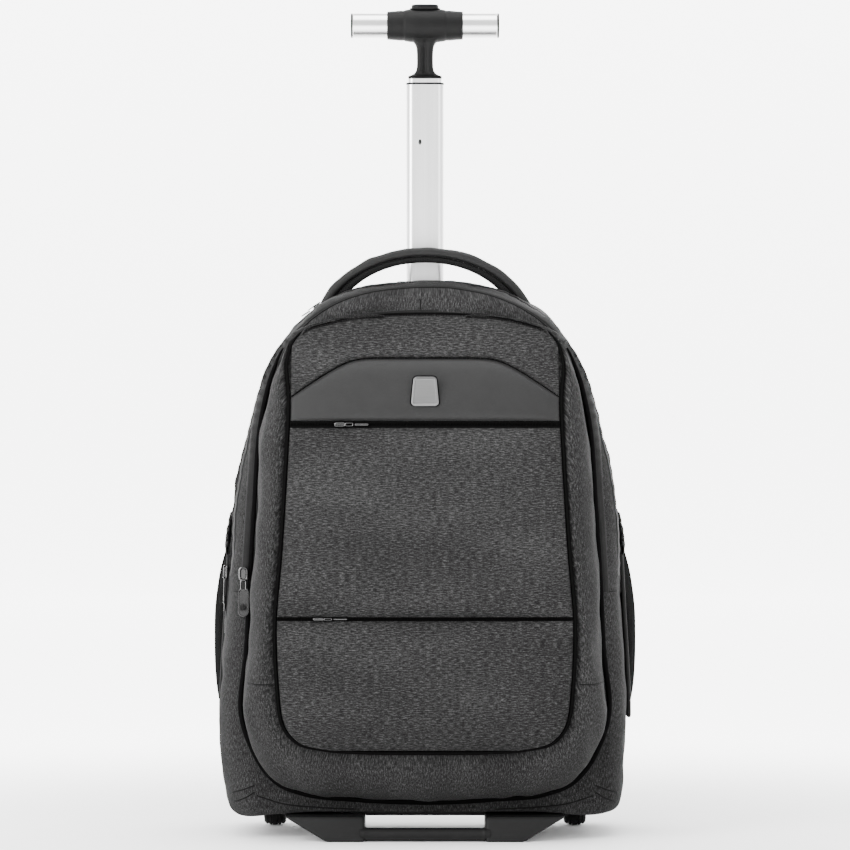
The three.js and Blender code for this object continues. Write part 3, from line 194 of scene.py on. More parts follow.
def loop_out(loop):
    """The outward direction at each point of a closed flat loop: its direction, turned square."""
    way = np.gradient(loop, axis=0)
    way[0] = way[-1] = loop[1] - loop[-2]
    way /= np.linalg.norm(way, axis=1, keepdims=True)
    out = np.stack([way[:, 1], -way[:, 0]], axis=1)
    return out * np.sign(np.sum(out * (loop - loop.mean(axis=0))))


half_loop = around // 2 + 1


def face_half_width(z):
    """Half the front face's width, looked up by height on its right side."""
    up = (z - bag_lift - face_lift) / face_height
    right = face_loop[:half_loop]
    return np.interp(up, rising(right[:, 1]), right[:, 0]) * face_width / 2


def face_top(x):
    """The front face's upper edge, looked up by distance from the middle."""
    right = face_loop[:half_loop]
    upper = right[right[:, 1] > 0.86][::-1]
    out = np.abs(2 * x / face_width)
    up = np.interp(out, rising(upper[:, 0]), upper[:, 1])
    return bag_lift + face_lift + up * face_height


def bag_half_width(z):
    """Half the bag's width, looked up by height."""
    right = bag_loop[:half_loop]
    up = (z - bag_lift) / bag_height
    return np.interp(up, rising(right[:, 1]), right[:, 0]) * bag_width / 2


print("face half width at mid height:", round(float(face_half_width(250.0)), 1))

# %% [markdown]
# ## Folds and puckers
# Cloth is never flat: it swells in slow waves, and a seam gathers it into short puckers. Random
# plane waves added together give slow swelling that is the same each run, because the random
# numbers start from a fixed seed. Puckers are a ripple along the seam that fades away from it.

# %% Slow waves and seam puckers
def slow_waves(points, size, seed):
    """The sum of 22 plane waves, in random directions, with lengths near size, about one high."""
    random = np.random.default_rng(seed)
    ways = random.normal(size=(22, 3))
    ways /= np.linalg.norm(ways, axis=1, keepdims=True)
    ways *= 2 * np.pi / (size * random.uniform(0.65, 1.7, (22, 1)))
    starts = random.uniform(0, 2 * np.pi, 22)
    return np.sin(points @ ways.T + starts).sum(axis=-1) / math.sqrt(11)


def puckers(along, distance, spacing, reach, seed):
    """A ripple along a seam, its pace wandering, fading with the distance from the seam."""
    random = np.random.default_rng(seed)
    pace = random.uniform(0, 2 * np.pi, 3)
    wander = 1.9 * np.sin(along / (spacing * 3.7) + pace[0]) + 1.3 * np.sin(along / (spacing * 1.9) + pace[1])
    ripple = 0.5 + 0.5 * np.sin(2 * np.pi * along / spacing + wander + pace[2])
    return ripple * np.exp(-np.abs(distance) / reach)


# %% [markdown]
# ## Meshes from grids
# A grid of points becomes a mesh by joining neighbours into quads. The lengths along the grid
# are kept as a UV map in metres, so that a weave has its real size on every piece.

# %% Normals and lengths on a grid
def grid_normals(points, away_from):
    """The cross product of the grid's two directions, turned away from a point."""
    across = np.gradient(points, axis=1)
    up = np.gradient(points, axis=0)
    if np.allclose(points[:, 0], points[:, -1]):
        wrap = points[:, 1] - points[:, -2]
        across[:, 0] = wrap / 2
        across[:, -1] = wrap / 2
    normal = np.cross(across, up)
    normal /= np.linalg.norm(normal, axis=-1, keepdims=True) + 1e-12
    turn = np.sign(np.sum(normal * (points - np.asarray(away_from, float))))
    return normal * (turn or 1)


def grid_lengths(points):
    """Length walked along the rows, and up the columns, at each point."""
    along = np.linalg.norm(np.diff(points, axis=1), axis=-1).mean(axis=0)
    up = np.linalg.norm(np.diff(points, axis=0), axis=-1).mean(axis=1)
    u = np.concatenate([[0], np.cumsum(along)])
    v = np.concatenate([[0], np.cumsum(up)])
    return np.stack(np.meshgrid(u, v), axis=-1)


# %% A patch of mesh, and patches joined
def grid_quads(rows, columns):
    """The four corner numbers of each quad in a grid of points."""
    index = np.arange(rows * columns).reshape(rows, columns)
    quads = np.stack([index[:-1, :-1], index[:-1, 1:], index[1:, 1:], index[1:, :-1]], axis=-1)
    return quads.reshape(-1, 4)


def quad_normals(corners):
    """The cross product of a quad's two diagonals."""
    return np.cross(
        corners[..., 2, :] - corners[..., 0, :], corners[..., 3, :] - corners[..., 1, :]
    )


def patch(points, away_from=None, uv=None):
    """Quads over a grid in millimetres, facing away from a point inside."""
    points = np.asarray(points, float)
    faces = grid_quads(*points.shape[:2])
    uv = grid_lengths(points) if uv is None else np.asarray(uv, float)
    spots = points.reshape(-1, 3)
    corners = spots[faces]
    centre = spots.mean(axis=0) if away_from is None else np.asarray(away_from, float)
    if np.sum(quad_normals(corners) * (corners.mean(axis=1) - centre)) < 0:
        faces = faces[:, ::-1]
    return {"spots": spots, "faces": faces, "uv": uv.reshape(-1, 2) / 1000}


def joined(*parts):
    """Several patches as one, each one's corner numbers moved past those before it."""
    start = np.cumsum([0] + [len(p["spots"]) for p in parts[:-1]])
    return {
        "spots": np.vstack([p["spots"] for p in parts]),
        "faces": np.vstack([p["faces"] + s for p, s in zip(parts, start)]),
        "uv": np.vstack([p["uv"] for p in parts]),
    }


def mirrored(part):
    """The same patch on the other side: x changes sign, and the faces turn to stay outside."""
    return {
        "spots": part["spots"] * (-1, 1, 1),
        "faces": part["faces"][:, ::-1],
        "uv": part["uv"],
    }


# %% A finished piece
piece_count = {}


def node_box(name):
    """A node's lowest and highest corners, in millimetres."""
    low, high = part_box(name)
    return np.array(low) * 1000, np.array(high) * 1000


def bare_mesh(name, part):
    """A mesh in metres from a patch in millimetres."""
    mesh = bpy.data.meshes.new(name)
    mesh.from_pydata((part["spots"] / 1000).tolist(), [], part["faces"].tolist())
    return mesh


def make_piece(name, part, finish, body="bag", instead_of=(), sharp=38):
    """The patch becomes a mesh in metres: doubles are merged so that seams and poles close,
    edges sharper than an angle stay crisp, and the piece rides its body."""
    mesh = bare_mesh(name, part)
    corners = np.empty(len(mesh.loops), int)
    mesh.loops.foreach_get("vertex_index", corners)
    layer = mesh.uv_layers.new(name="cloth")
    layer.data.foreach_set("uv", part["uv"][corners].astype(np.float32).ravel())
    work = bmesh.new()
    work.from_mesh(mesh)
    bmesh.ops.remove_doubles(work, verts=work.verts, dist=2e-6)
    bmesh.ops.dissolve_degenerate(work, edges=work.edges, dist=1e-7)
    work.to_mesh(mesh)
    work.free()
    mesh.shade_smooth()
    mesh.set_sharp_from_angle(angle=math.radians(sharp))
    mesh.materials.append(finish)
    thing = bpy.data.objects.new(name, mesh)
    bpy.context.scene.collection.objects.link(thing)
    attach(thing, body)
    if instead_of:
        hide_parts(*instead_of)
    piece_count[name] = len(mesh.polygons)
    print(name, "faces:", len(mesh.polygons))
    return thing


# %% [markdown]
# ## Camera, floor and light
# The photograph is taken level from straight in front, from far away, so the lens is long and
# the camera isn't tilted. Large soft lights stand left, right and above a white floor that
# curves up into a white backdrop, as in a product studio.

# %% The camera
camera_data = bpy.data.cameras.new("camera")
camera_data.lens = 160.6
camera_data.sensor_width = 36
camera_data.clip_end = 60
camera = bpy.data.objects.new("camera", camera_data)
camera.location = (0, -3.405, 0.366)
camera.rotation_euler = (math.pi / 2, 0, 0)
bpy.context.scene.collection.objects.link(camera)
bpy.context.scene.camera = camera
print("lens", camera_data.lens, "mm")


# %% Materials: small helpers for nodes
def grey(level, warm=0.0):
    """A screen grey from 0 to 255 as linear light, slightly warm where asked."""
    light = ((level / 255 + 0.055) / 1.055) ** 2.4
    return (light * (1 + warm), light, light * (1 - warm), 1)


def add_node(tree, kind, **settings):
    """One node, with its plain settings, and its unlinked inputs given by name or number."""
    inputs = settings.pop("inputs", {})
    made = tree.nodes.new(kind)
    for key, value in settings.items():
        setattr(made, key, value)
    for key, value in inputs.items():
        if isinstance(value, bpy.types.NodeSocket):
            tree.links.new(value, made.inputs[key])
        else:
            made.inputs[key].default_value = value
    return made


def start_group(name, inputs, outputs):
    """An empty node group with named sockets, and its two end nodes."""
    group = bpy.data.node_groups.new(name, "ShaderNodeTree")
    for title, kind, value in inputs:
        socket = group.interface.new_socket(title, in_out="INPUT", socket_type=kind)
        if value is not None:
            socket.default_value = value
    for title, kind in outputs:
        group.interface.new_socket(title, in_out="OUTPUT", socket_type=kind)
    return group, group.nodes.new("NodeGroupInput"), group.nodes.new("NodeGroupOutput")


def scaled(tree, vector, scale):
    """A vector stretched by three numbers."""
    return add_node(
        tree, "ShaderNodeVectorMath", operation="MULTIPLY", inputs={0: vector, 1: scale}
    ).outputs[0]


def noise(tree, vector, detail=2.0, roughness=0.5):
    """A noise of scale one, read at an already stretched vector."""
    return add_node(
        tree,
        "ShaderNodeTexNoise",
        inputs={"Vector": vector, "Scale": 1.0, "Detail": detail, "Roughness": roughness},
    ).outputs["Fac"]


def maths(tree, operation, *values):
    """One step of arithmetic on numbers or sockets."""
    return add_node(
        tree, "ShaderNodeMath", operation=operation, inputs=dict(enumerate(values))
    ).outputs[0]


def plus(tree, first, second):
    """Two numbers or sockets added."""
    return maths(tree, "ADD", first, second)


def times(tree, first, second):
    """Two numbers or sockets multiplied."""
    return maths(tree, "MULTIPLY", first, second)


def between(tree, value, low, high):
    """A smooth step from 0 at low to 1 at high."""
    made = add_node(
        tree,
        "ShaderNodeMapRange",
        interpolation_type="SMOOTHSTEP",
        inputs={"Value": value, "From Min": low, "From Max": high},
    )
    return made.outputs["Result"]


def mixed(tree, share, first, second):
    """Two colours mixed by a share."""
    made = add_node(tree, "ShaderNodeMix", data_type="RGBA")
    for socket, value in zip((made.inputs[0], made.inputs[6], made.inputs[7]), (share, first, second)):
        if isinstance(value, bpy.types.NodeSocket):
            tree.links.new(value, socket)
        else:
            socket.default_value = value
    return made.outputs[2]


# %% [markdown]
# ## Melange cloth
# Melange yarn is spun from dark and light fibres, so the cloth shows short streaks along the
# thread, with a fine plain weave over them. The streaks follow the piece's own UV map: on the
# front panels they run across, on the gussets they run with the gusset's cut. One group makes
# the streaks and the weave, and each cloth gives it its own tones and thread.

# %% The melange group
melange, start, end = start_group(
    "melange weave",
    [
        ("Vector", "NodeSocketVector", None),
        ("Thread", "NodeSocketFloat", 1400.0),
        ("Streak", "NodeSocketFloat", 90.0),
        ("Contrast", "NodeSocketFloat", 1.0),
        ("Dark", "NodeSocketColor", (0.02, 0.02, 0.02, 1)),
        ("Light", "NodeSocketColor", (0.1, 0.1, 0.1, 1)),
    ],
    [("Color", "NodeSocketColor"), ("Height", "NodeSocketFloat")],
)
split = add_node(melange, "ShaderNodeSeparateXYZ", inputs={0: start.outputs["Vector"]})
u, v = split.outputs[0], split.outputs[1]
thread = start.outputs["Thread"]
streak = start.outputs["Streak"]
long_way = add_node(
    melange,
    "ShaderNodeCombineXYZ",
    inputs={0: times(melange, u, streak), 1: times(melange, v, thread)},
).outputs[0]
hairs = noise(melange, scaled(melange, long_way, (1.0, 0.55, 1.0)), 2.0, 0.6)
specks = noise(melange, scaled(melange, long_way, (3.1, 0.8, 1.0)), 1.0, 0.6)
clouds = noise(melange, scaled(melange, start.outputs["Vector"], (7.0, 22.0, 7.0)), 2.0, 0.5)
blend_of = plus(melange, times(melange, hairs, 0.62), times(melange, specks, 0.38))
centred = times(melange, maths(melange, "SUBTRACT", blend_of, 0.5), start.outputs["Contrast"])
shade = plus(melange, times(melange, centred, 2.6), 0.5)
shade = plus(melange, shade, times(melange, maths(melange, "SUBTRACT", clouds, 0.5), 0.35))
share = maths(melange, "POWER", add_node(melange, "ShaderNodeClamp", inputs={0: shade}).outputs[0], 2.4)
cloth_colour = mixed(melange, share, start.outputs["Dark"], start.outputs["Light"])
thread_pace = 6283.0
warp = maths(melange, "SINE", times(melange, u, thread_pace))
weft = maths(melange, "SINE", times(melange, v, thread_pace))
weave = times(melange, times(melange, warp, weft), 0.22)
height = plus(melange, times(melange, blend_of, 1.1), weave)
melange.links.new(cloth_colour, end.inputs["Color"])
melange.links.new(height, end.inputs["Height"])
print("melange weave nodes:", len(melange.nodes))


# %% A material with its shader, and what a group adds to it
def start_material(name, **shader):
    """A named material with one Principled shader, whose constants sit on its own sockets."""
    made = bpy.data.materials.new(name)
    made.use_nodes = True
    tree = made.node_tree
    principled = tree.nodes["Principled BSDF"]
    for key, value in shader.items():
        principled.inputs[key.replace("_", " ")].default_value = value
    return made, tree, principled


def cloth_vector(tree):
    """The piece's own UV map, in metres."""
    return add_node(tree, "ShaderNodeUVMap", uv_map="cloth").outputs[0]


def object_vector(tree):
    """Where a point is in the frame, in metres."""
    return add_node(tree, "ShaderNodeTexCoord").outputs["Object"]


def bump(tree, height, distance, strength=1.0, under=None):
    """A bump whose height is in units of distance, in metres."""
    inputs = {"Height": height, "Distance": distance, "Strength": strength}
    if under is not None:
        inputs["Normal"] = under
    return add_node(tree, "ShaderNodeBump", inputs=inputs).outputs[0]


def use_group(tree, group, **inputs):
    """A group placed in a material, with its own values."""
    placed = add_node(tree, "ShaderNodeGroup", node_tree=group)
    for key, value in inputs.items():
        socket = placed.inputs[key.replace("_", " ")]
        if isinstance(value, bpy.types.NodeSocket):
            tree.links.new(value, socket)
        else:
            socket.default_value = value
    return placed


def melange_cloth(name, dark, light, streak=90.0, thread=1300.0, contrast=1.0):
    """Cloth of two greys: streaked colour, and the weave's relief."""
    made, tree, shader = start_material(name, Roughness=0.9, Specular_IOR_Level=0.1)
    placed = use_group(
        tree, melange, Vector=cloth_vector(tree), Thread=thread, Streak=streak,
        Contrast=contrast, Dark=grey(dark), Light=grey(light),
    )
    tree.links.new(placed.outputs["Color"], shader.inputs["Base Color"])
    tree.links.new(bump(tree, placed.outputs["Height"], 0.00016, 0.8), shader.inputs["Normal"])
    return made


panel_cloth = melange_cloth("panel cloth", 9, 66, 200.0, 2000.0, 1.05)
gusset_cloth = melange_cloth("gusset cloth", 11, 62, 280.0, 2000.0, 1.1)
strap_cloth = melange_cloth("strap cloth", 8, 56, 240.0, 2000.0, 1.0)
print("cloths:", panel_cloth.name, gusset_cloth.name, strap_cloth.name)

# %% [markdown]
# ## Tape, binding and webbing
# Zip tape, seam binding and webbing are narrow woven ribbons: ribs cross them at an even pitch.
# They are nearly black here. One group draws the ribs, and its pitch and depth change.

# %% The ribbed ribbon group and its materials
ribbon, start, end = start_group(
    "woven ribbon",
    [
        ("Vector", "NodeSocketVector", None),
        ("Across", "NodeSocketFloat", 9000.0),
        ("Along", "NodeSocketFloat", 4200.0),
        ("Dark", "NodeSocketColor", (0.01, 0.01, 0.01, 1)),
        ("Light", "NodeSocketColor", (0.03, 0.03, 0.03, 1)),
    ],
    [("Color", "NodeSocketColor"), ("Height", "NodeSocketFloat")],
)
split = add_node(ribbon, "ShaderNodeSeparateXYZ", inputs={0: start.outputs["Vector"]})
ribs = maths(ribbon, "SINE", times(ribbon, split.outputs[0], start.outputs["Across"]))
cords = maths(ribbon, "SINE", times(ribbon, split.outputs[1], start.outputs["Along"]))
raised = plus(ribbon, times(ribbon, ribs, 0.3), times(ribbon, cords, 0.2))
fuzz = noise(ribbon, scaled(ribbon, start.outputs["Vector"], (1400.0, 1400.0, 1400.0)), 2.0)
tone = plus(ribbon, times(ribbon, raised, 0.5), fuzz)
ribbon.links.new(mixed(ribbon, tone, start.outputs["Dark"], start.outputs["Light"]), end.inputs["Color"])
ribbon.links.new(plus(ribbon, raised, times(ribbon, fuzz, 0.5)), end.inputs["Height"])


def ribbon_material(name, dark, light, across=9000.0, along=4200.0, depth=0.00015, gloss=0.15):
    """A woven ribbon of two greys."""
    made, tree, shader = start_material(name, Roughness=0.75, Specular_IOR_Level=gloss)
    placed = use_group(
        tree, ribbon, Vector=cloth_vector(tree), Across=across, Along=along,
        Dark=grey(dark), Light=grey(light),
    )
    tree.links.new(placed.outputs["Color"], shader.inputs["Base Color"])
    tree.links.new(bump(tree, placed.outputs["Height"], depth), shader.inputs["Normal"])
    return made


zip_tape = ribbon_material("zip tape", 2, 13, gloss=0.08)
# Near-black, nearly without gloss: painted shadow at the bottom of the seams, round the badge and inside the
# net pockets, and the black tape in the pocket zips' gaps, where it also paints their shade.
black_tape_and_painted_shadow = ribbon_material("black tape and painted shadow", 1, 6, 5000.0, 5000.0, gloss=0.02)
hem_cloth = ribbon_material("hem cloth", 3, 17, 5200.0, 2600.0)
trim_cloth = ribbon_material("trim cloth", 7, 26, 5200.0, 2600.0)
webbing_cloth = ribbon_material("webbing", 8, 24, 3100.0, 2500.0, 0.0003)
thread_cloth = ribbon_material("sewing thread", 10, 34, 14000.0, 9000.0, 0.0001)
print("ribbons: 6")

# %% [markdown]
# ## Smooth coated cloth
# The flap and the carry handle are covered with coated cloth that looks like fine leather:
# small rounded grains with narrow valleys between, and a soft sheen. Cells from a Voronoi
# texture make the grains, and a slow noise changes the gloss so that it doesn't look like film.

# %% The grain group and the coated cloth
grain, start, end = start_group(
    "leather grain",
    [("Vector", "NodeSocketVector", None), ("Size", "NodeSocketFloat", 1100.0)],
    [("Height", "NodeSocketFloat"), ("Shade", "NodeSocketFloat")],
)
cells = add_node(
    grain,
    "ShaderNodeTexVoronoi",
    feature="DISTANCE_TO_EDGE",
    inputs={"Vector": start.outputs["Vector"], "Scale": start.outputs["Size"]},
).outputs["Distance"]
domes = between(grain, cells, 0.0, 0.35)
slow = noise(grain, scaled(grain, start.outputs["Vector"], (60.0, 60.0, 60.0)), 3.0)
grain.links.new(plus(grain, domes, times(grain, slow, 0.6)), end.inputs["Height"])
grain.links.new(slow, end.inputs["Shade"])


def leather_material(name, level, roughness, size=1100.0, depth=0.00008):
    """Coated cloth: a dark tone that wanders a little, with a grain in its relief and gloss."""
    made, tree, shader = start_material(
        name, Sheen_Weight=0.02, Sheen_Roughness=0.35, Specular_IOR_Level=0.15,
    )
    placed = use_group(tree, grain, Vector=object_vector(tree), Size=size)
    colour = mixed(tree, placed.outputs["Shade"], grey(level * 0.9), grey(level * 1.1))
    tree.links.new(colour, shader.inputs["Base Color"])
    gloss = plus(tree, times(tree, placed.outputs["Shade"], 0.14), roughness - 0.07)
    tree.links.new(gloss, shader.inputs["Roughness"])
    tree.links.new(bump(tree, placed.outputs["Height"], depth), shader.inputs["Normal"])
    return made


flap_leather = leather_material("flap leather", 25, 0.5)
handle_leather = leather_material("handle leather", 20, 0.42)
print("coated cloth:", flap_leather.name, handle_leather.name)

# %% [markdown]
# ## Air mesh, moulded plastic, rubber and metal
# Padded backs and straps are faced with a knitted mesh of small holes. Moulded parts have a
# fine spark texture and lighter scuffs where they meet the ground. Metal is brushed one way.
# Each is a small group, so that every plastic or metal piece gets its own values from one place.

# %% The air mesh group and its material
air_mesh, start, end = start_group(
    "air mesh",
    [("Vector", "NodeSocketVector", None), ("Size", "NodeSocketFloat", 330.0)],
    [("Height", "NodeSocketFloat"), ("Hole", "NodeSocketFloat")],
)
split = add_node(air_mesh, "ShaderNodeSeparateXYZ", inputs={0: start.outputs["Vector"]})
size = times(air_mesh, start.outputs["Size"], 6.2832)
first = maths(air_mesh, "COSINE", times(air_mesh, split.outputs[0], size))
lean = plus(air_mesh, times(air_mesh, split.outputs[0], 0.5), times(air_mesh, split.outputs[1], 0.866))
second = maths(air_mesh, "COSINE", times(air_mesh, lean, size))
back = maths(
    air_mesh, "SUBTRACT",
    times(air_mesh, split.outputs[0], 0.5), times(air_mesh, split.outputs[1], 0.866),
)
third = maths(air_mesh, "COSINE", times(air_mesh, back, size))
summed = plus(air_mesh, plus(air_mesh, first, second), third)
hole = between(air_mesh, summed, 0.4, 2.0)
air_mesh.links.new(maths(air_mesh, "SUBTRACT", 1.0, hole), end.inputs["Height"])
air_mesh.links.new(hole, end.inputs["Hole"])


def mesh_material(name, level, size=330.0):
    """Knitted mesh: deeper in its holes, and darkened there as painted shade."""
    made, tree, shader = start_material(name, Roughness=0.85, Specular_IOR_Level=0.04)
    vector = cloth_vector(tree)
    placed = use_group(tree, air_mesh, Vector=vector, Size=size)
    fuzz = noise(tree, scaled(tree, vector, (900.0, 900.0, 900.0)), 2.0)
    yarn = mixed(tree, fuzz, grey(level * 0.8), grey(level * 1.25))
    # Painted shade: the holes' colour drops to 0.28 of the yarn's tone.
    colour = mixed(tree, placed.outputs["Hole"], yarn, grey(level * 0.28))
    tree.links.new(colour, shader.inputs["Base Color"])
    tree.links.new(bump(tree, placed.outputs["Height"], 0.0008), shader.inputs["Normal"])
    return made


back_mesh = mesh_material("back mesh", 22)
strap_mesh = mesh_material("strap mesh", 24, 420.0)
net_yarn = mesh_material("net yarn", 5, 1600.0)

# %% The moulded grain group, plastics and rubber
moulded, start, end = start_group(
    "moulded grain",
    [("Vector", "NodeSocketVector", None), ("Scuff height", "NodeSocketFloat", 0.0)],
    [("Height", "NodeSocketFloat"), ("Wear", "NodeSocketFloat")],
)
spark = noise(moulded, scaled(moulded, start.outputs["Vector"], (2600.0, 2600.0, 2600.0)), 2.0)
patches = noise(moulded, scaled(moulded, start.outputs["Vector"], (90.0, 90.0, 260.0)), 4.0, 0.65)
split = add_node(moulded, "ShaderNodeSeparateXYZ", inputs={0: start.outputs["Vector"]})
above = maths(moulded, "SUBTRACT", split.outputs[2], start.outputs["Scuff height"])
low = maths(moulded, "SUBTRACT", 1.0, between(moulded, above, 0.0, 0.02))
wear = times(moulded, between(moulded, patches, 0.5, 0.72), plus(moulded, times(moulded, low, 0.8), 0.2))
moulded.links.new(spark, end.inputs["Height"])
moulded.links.new(wear, end.inputs["Wear"])


def plastic_material(name, level, roughness, depth=0.00006, worn=1.25, scuffs=0.0):
    """Moulded plastic: spark grain, and paler, rougher patches of wear."""
    made, tree, shader = start_material(name, Specular_IOR_Level=0.13)
    placed = use_group(tree, moulded, Vector=object_vector(tree), Scuff_height=scuffs)
    colour = mixed(tree, placed.outputs["Wear"], grey(level), grey(level * worn))
    tree.links.new(colour, shader.inputs["Base Color"])
    rough = plus(tree, times(tree, placed.outputs["Wear"], 0.2), roughness)
    tree.links.new(rough, shader.inputs["Roughness"])
    tree.links.new(bump(tree, placed.outputs["Height"], depth), shader.inputs["Normal"])
    return made


grip_plastic = plastic_material("grip plastic", 2, 0.55)
buckle_plastic = plastic_material("buckle plastic", 7, 0.38)
bezel_plastic = plastic_material("bezel plastic", 3, 0.5)
base_plastic = plastic_material("base plastic", 20, 0.5, 0.00009, 1.3)
hub_plastic = plastic_material("hub plastic", 40, 0.42)
tyre_rubber = plastic_material("tyre rubber", 12, 0.7, 0.00012, 1.7)
print("plastics: 6")

# %% The brushed metal group and metals
brushed, start, end = start_group(
    "brushed metal",
    [("Vector", "NodeSocketVector", None)],
    [("Height", "NodeSocketFloat"), ("Shade", "NodeSocketFloat")],
)
lines = noise(brushed, start.outputs["Vector"], 3.0, 0.6)
smears = noise(brushed, scaled(brushed, start.outputs["Vector"], (0.11, 0.11, 0.11)), 2.0)
brushed.links.new(lines, end.inputs["Height"])
brushed.links.new(
    plus(brushed, times(brushed, lines, 0.55), times(brushed, smears, 0.45)),
    end.inputs["Shade"],
)


def metal_material(name, level, roughness, stretch, metallic=1.0, spread=0.16, depth=0.00002):
    """Metal brushed along the axis where stretch is smallest."""
    made, tree, shader = start_material(name, Metallic=metallic)
    vector = scaled(tree, object_vector(tree), stretch)
    placed = use_group(tree, brushed, Vector=vector)
    colour = mixed(tree, placed.outputs["Shade"], grey(level * 0.86), grey(min(255, level * 1.1)))
    tree.links.new(colour, shader.inputs["Base Color"])
    rough = plus(tree, times(tree, placed.outputs["Shade"], spread), roughness - spread / 2)
    tree.links.new(rough, shader.inputs["Roughness"])
    tree.links.new(bump(tree, placed.outputs["Height"], depth), shader.inputs["Normal"])
    return made


pole_metal = metal_material("pole aluminium", 254, 0.3, (1500.0, 1500.0, 8.0))
tube_metal = metal_material("grip tube aluminium", 232, 0.26, (14.0, 1800.0, 1800.0))
badge_metal = metal_material("badge metal", 98, 0.4, (60.0, 60.0, 2600.0))
slider_metal = metal_material("slider metal", 66, 0.2, (300.0, 300.0, 300.0), depth=0.000004)
dark_metal = metal_material("coil and axle metal", 74, 0.36, (1200.0, 1200.0, 1200.0))
print("metals: 5")

# %% [markdown]
# ## Studio
# The floor is a white sheet that curves up behind the bag. The sheet glows to stay white, but its
# glow fades out near the bag, which paints a soft shadow round the bag's foot. A bright even world
# stands for the white room, and two tall soft boxes give the light streaks down both gussets.

# %% Floor, backdrop and lights
floor_cloth, tree, shader = start_material("studio paper", Roughness=0.9)
paper = noise(tree, scaled(tree, object_vector(tree), (3.0, 3.0, 3.0)), 2.0)
tree.links.new(mixed(tree, paper, grey(246), grey(250)), shader.inputs["Base Color"])
# Painted shadow: the glow is off within 0.3 m of the bag's middle and full past 1.1 m, so the floor round the
# bag is painted darker.
away = add_node(
    tree, "ShaderNodeVectorMath", operation="LENGTH", inputs={0: object_vector(tree)}
).outputs["Value"]
glow_past_painted_shadow = between(tree, away, 0.3, 1.1)
glow_colour_past_painted_shadow = mixed(tree, glow_past_painted_shadow, (0, 0, 0, 1), (1, 1, 1, 1))
tree.links.new(glow_colour_past_painted_shadow, shader.inputs["Emission Color"])
shader.inputs["Emission Strength"].default_value = 3.6
curve = np.linspace(0.1, np.pi / 2, 10)
sweep_y = np.concatenate([[-7, -3, 0, 4.6], 4.6 + 1.4 * np.sin(curve), [6.0]])
sweep_z = np.concatenate([[0, 0, 0, 0], 1.4 - 1.4 * np.cos(curve), [7.0]])
sides = np.array([-14.0, 14.0])
backdrop = np.stack(
    [
        np.repeat(sides[None, :], len(sweep_y), 0),
        np.repeat(sweep_y[:, None], 2, 1),
        np.repeat(sweep_z[:, None], 2, 1),
    ],
    axis=-1,
)
sheet_part = patch(backdrop * 1000, away_from=(0, 9000, -9000))
sheet_mesh = bare_mesh("studio_sweep", sheet_part)
sheet_mesh.shade_smooth()
sheet_mesh.materials.append(floor_cloth)
studio = bpy.data.objects.new("studio_sweep", sheet_mesh)
bpy.context.scene.collection.objects.link(studio)


def soft_box(name, place, aim, width, height, power):
    """An area light at a place, turned to face a point."""
    data = bpy.data.lights.new(name, "AREA")
    data.shape = "RECTANGLE"
    data.size = width
    data.size_y = height
    data.energy = power
    lamp = bpy.data.objects.new(name, data)
    lamp.location = place
    way = np.array(aim) - np.array(place)
    lamp.rotation_euler = (
        math.atan2(math.hypot(way[0], way[1]), -way[2]),
        0,
        math.atan2(way[1], way[0]) - math.pi / 2,
    )
    bpy.context.scene.collection.objects.link(lamp)
    return lamp


soft_box("left box", (-1.5, -1.5, 1.2), (0, 0, 0.35), 0.9, 1.8, 78)
soft_box("right box", (1.5, -1.5, 1.2), (0, 0, 0.35), 0.9, 1.8, 12)
soft_box("top box", (0, -0.3, 2.4), (0, 0, 0.3), 1.8, 1.6, 70)
world = bpy.data.worlds.new("white room")
bpy.context.scene.world = world
world.use_nodes = True
room = world.node_tree.nodes["Background"]
room.inputs["Color"].default_value = (1, 1, 1, 1)
room.inputs["Strength"].default_value = 1.7

# %% [markdown]
# ## The bag's body
# The body is one wide band of cloth that runs round the outline, with a front and a back sheet
# sewn to its edges. It could be a box with rounded edges, but a real bag's outline changes all
# the way up, so each row of the grid is the outline itself, drawn in by a little at the rounded
# front and back edges. The main zip's slot is a trench in the same rows: the cloth folds over
# at each side of it. Slow waves then let the cloth swell, and puckers gather it by the zip.

# %% Rows of the body, from its front edge to its back edge
bag_stations = smooth_line([
    (0, 1), (0.033, 0.56), (0.09, 0.24), (0.167, 0.07), (0.275, 0), (0.45, 0), (0.65, 0), (0.82, 0),
    (0.92, 0.18), (0.975, 0.5), (1, 1),
])


def bag_rows(extra, count):
    """Depths at even steps round the rounded edges, and a few exact ones."""
    profile = even_steps(bag_stations * (bag_depth, edge_round), count)[:, 0] / bag_depth
    return np.unique(np.concatenate([profile, np.asarray(extra)]))


def bag_grid(along, loop=bag_loop, grow=0.0):
    """Each row is the outline drawn in by the edge's inset, standing at its depth, leaning
    forward at the foot as the front does."""
    inset = np.interp(along, rising(bag_stations[:, 0]), bag_stations[:, 1])[:, None]
    drawn = np.clip(inset, -0.01, 1) * edge_round - grow
    x = loop[None, :, 0] * (bag_width / 2 - drawn)
    raised = np.maximum(drawn, 0) * 0.15
    z = bag_lift + raised + loop[None, :, 1] * (bag_height - raised - drawn)
    weight = np.maximum(0, 1 - along / 0.45)[:, None]
    y = bag_front + along[:, None] * bag_depth - weight * bag_lean(x, z)
    return np.stack([x, y, z], axis=-1)


def upright_uv(points, front_most=-60.0):
    """Streaks run up the cloth: one direction is height, the other goes round the bag, along
    x at the front, along y at the side and back along x behind."""
    x, y, z = points[..., 0], points[..., 1], points[..., 2]
    behind = 0.5 - 0.5 * np.cos(np.pi * np.clip((y - 20) / 60, 0, 1))
    girth = x + 2 * behind * (182 * np.tanh(x / 60) - x) + (y - front_most) * np.tanh(x / 110)
    return np.stack([z - 0.8 * y, girth], axis=-1)


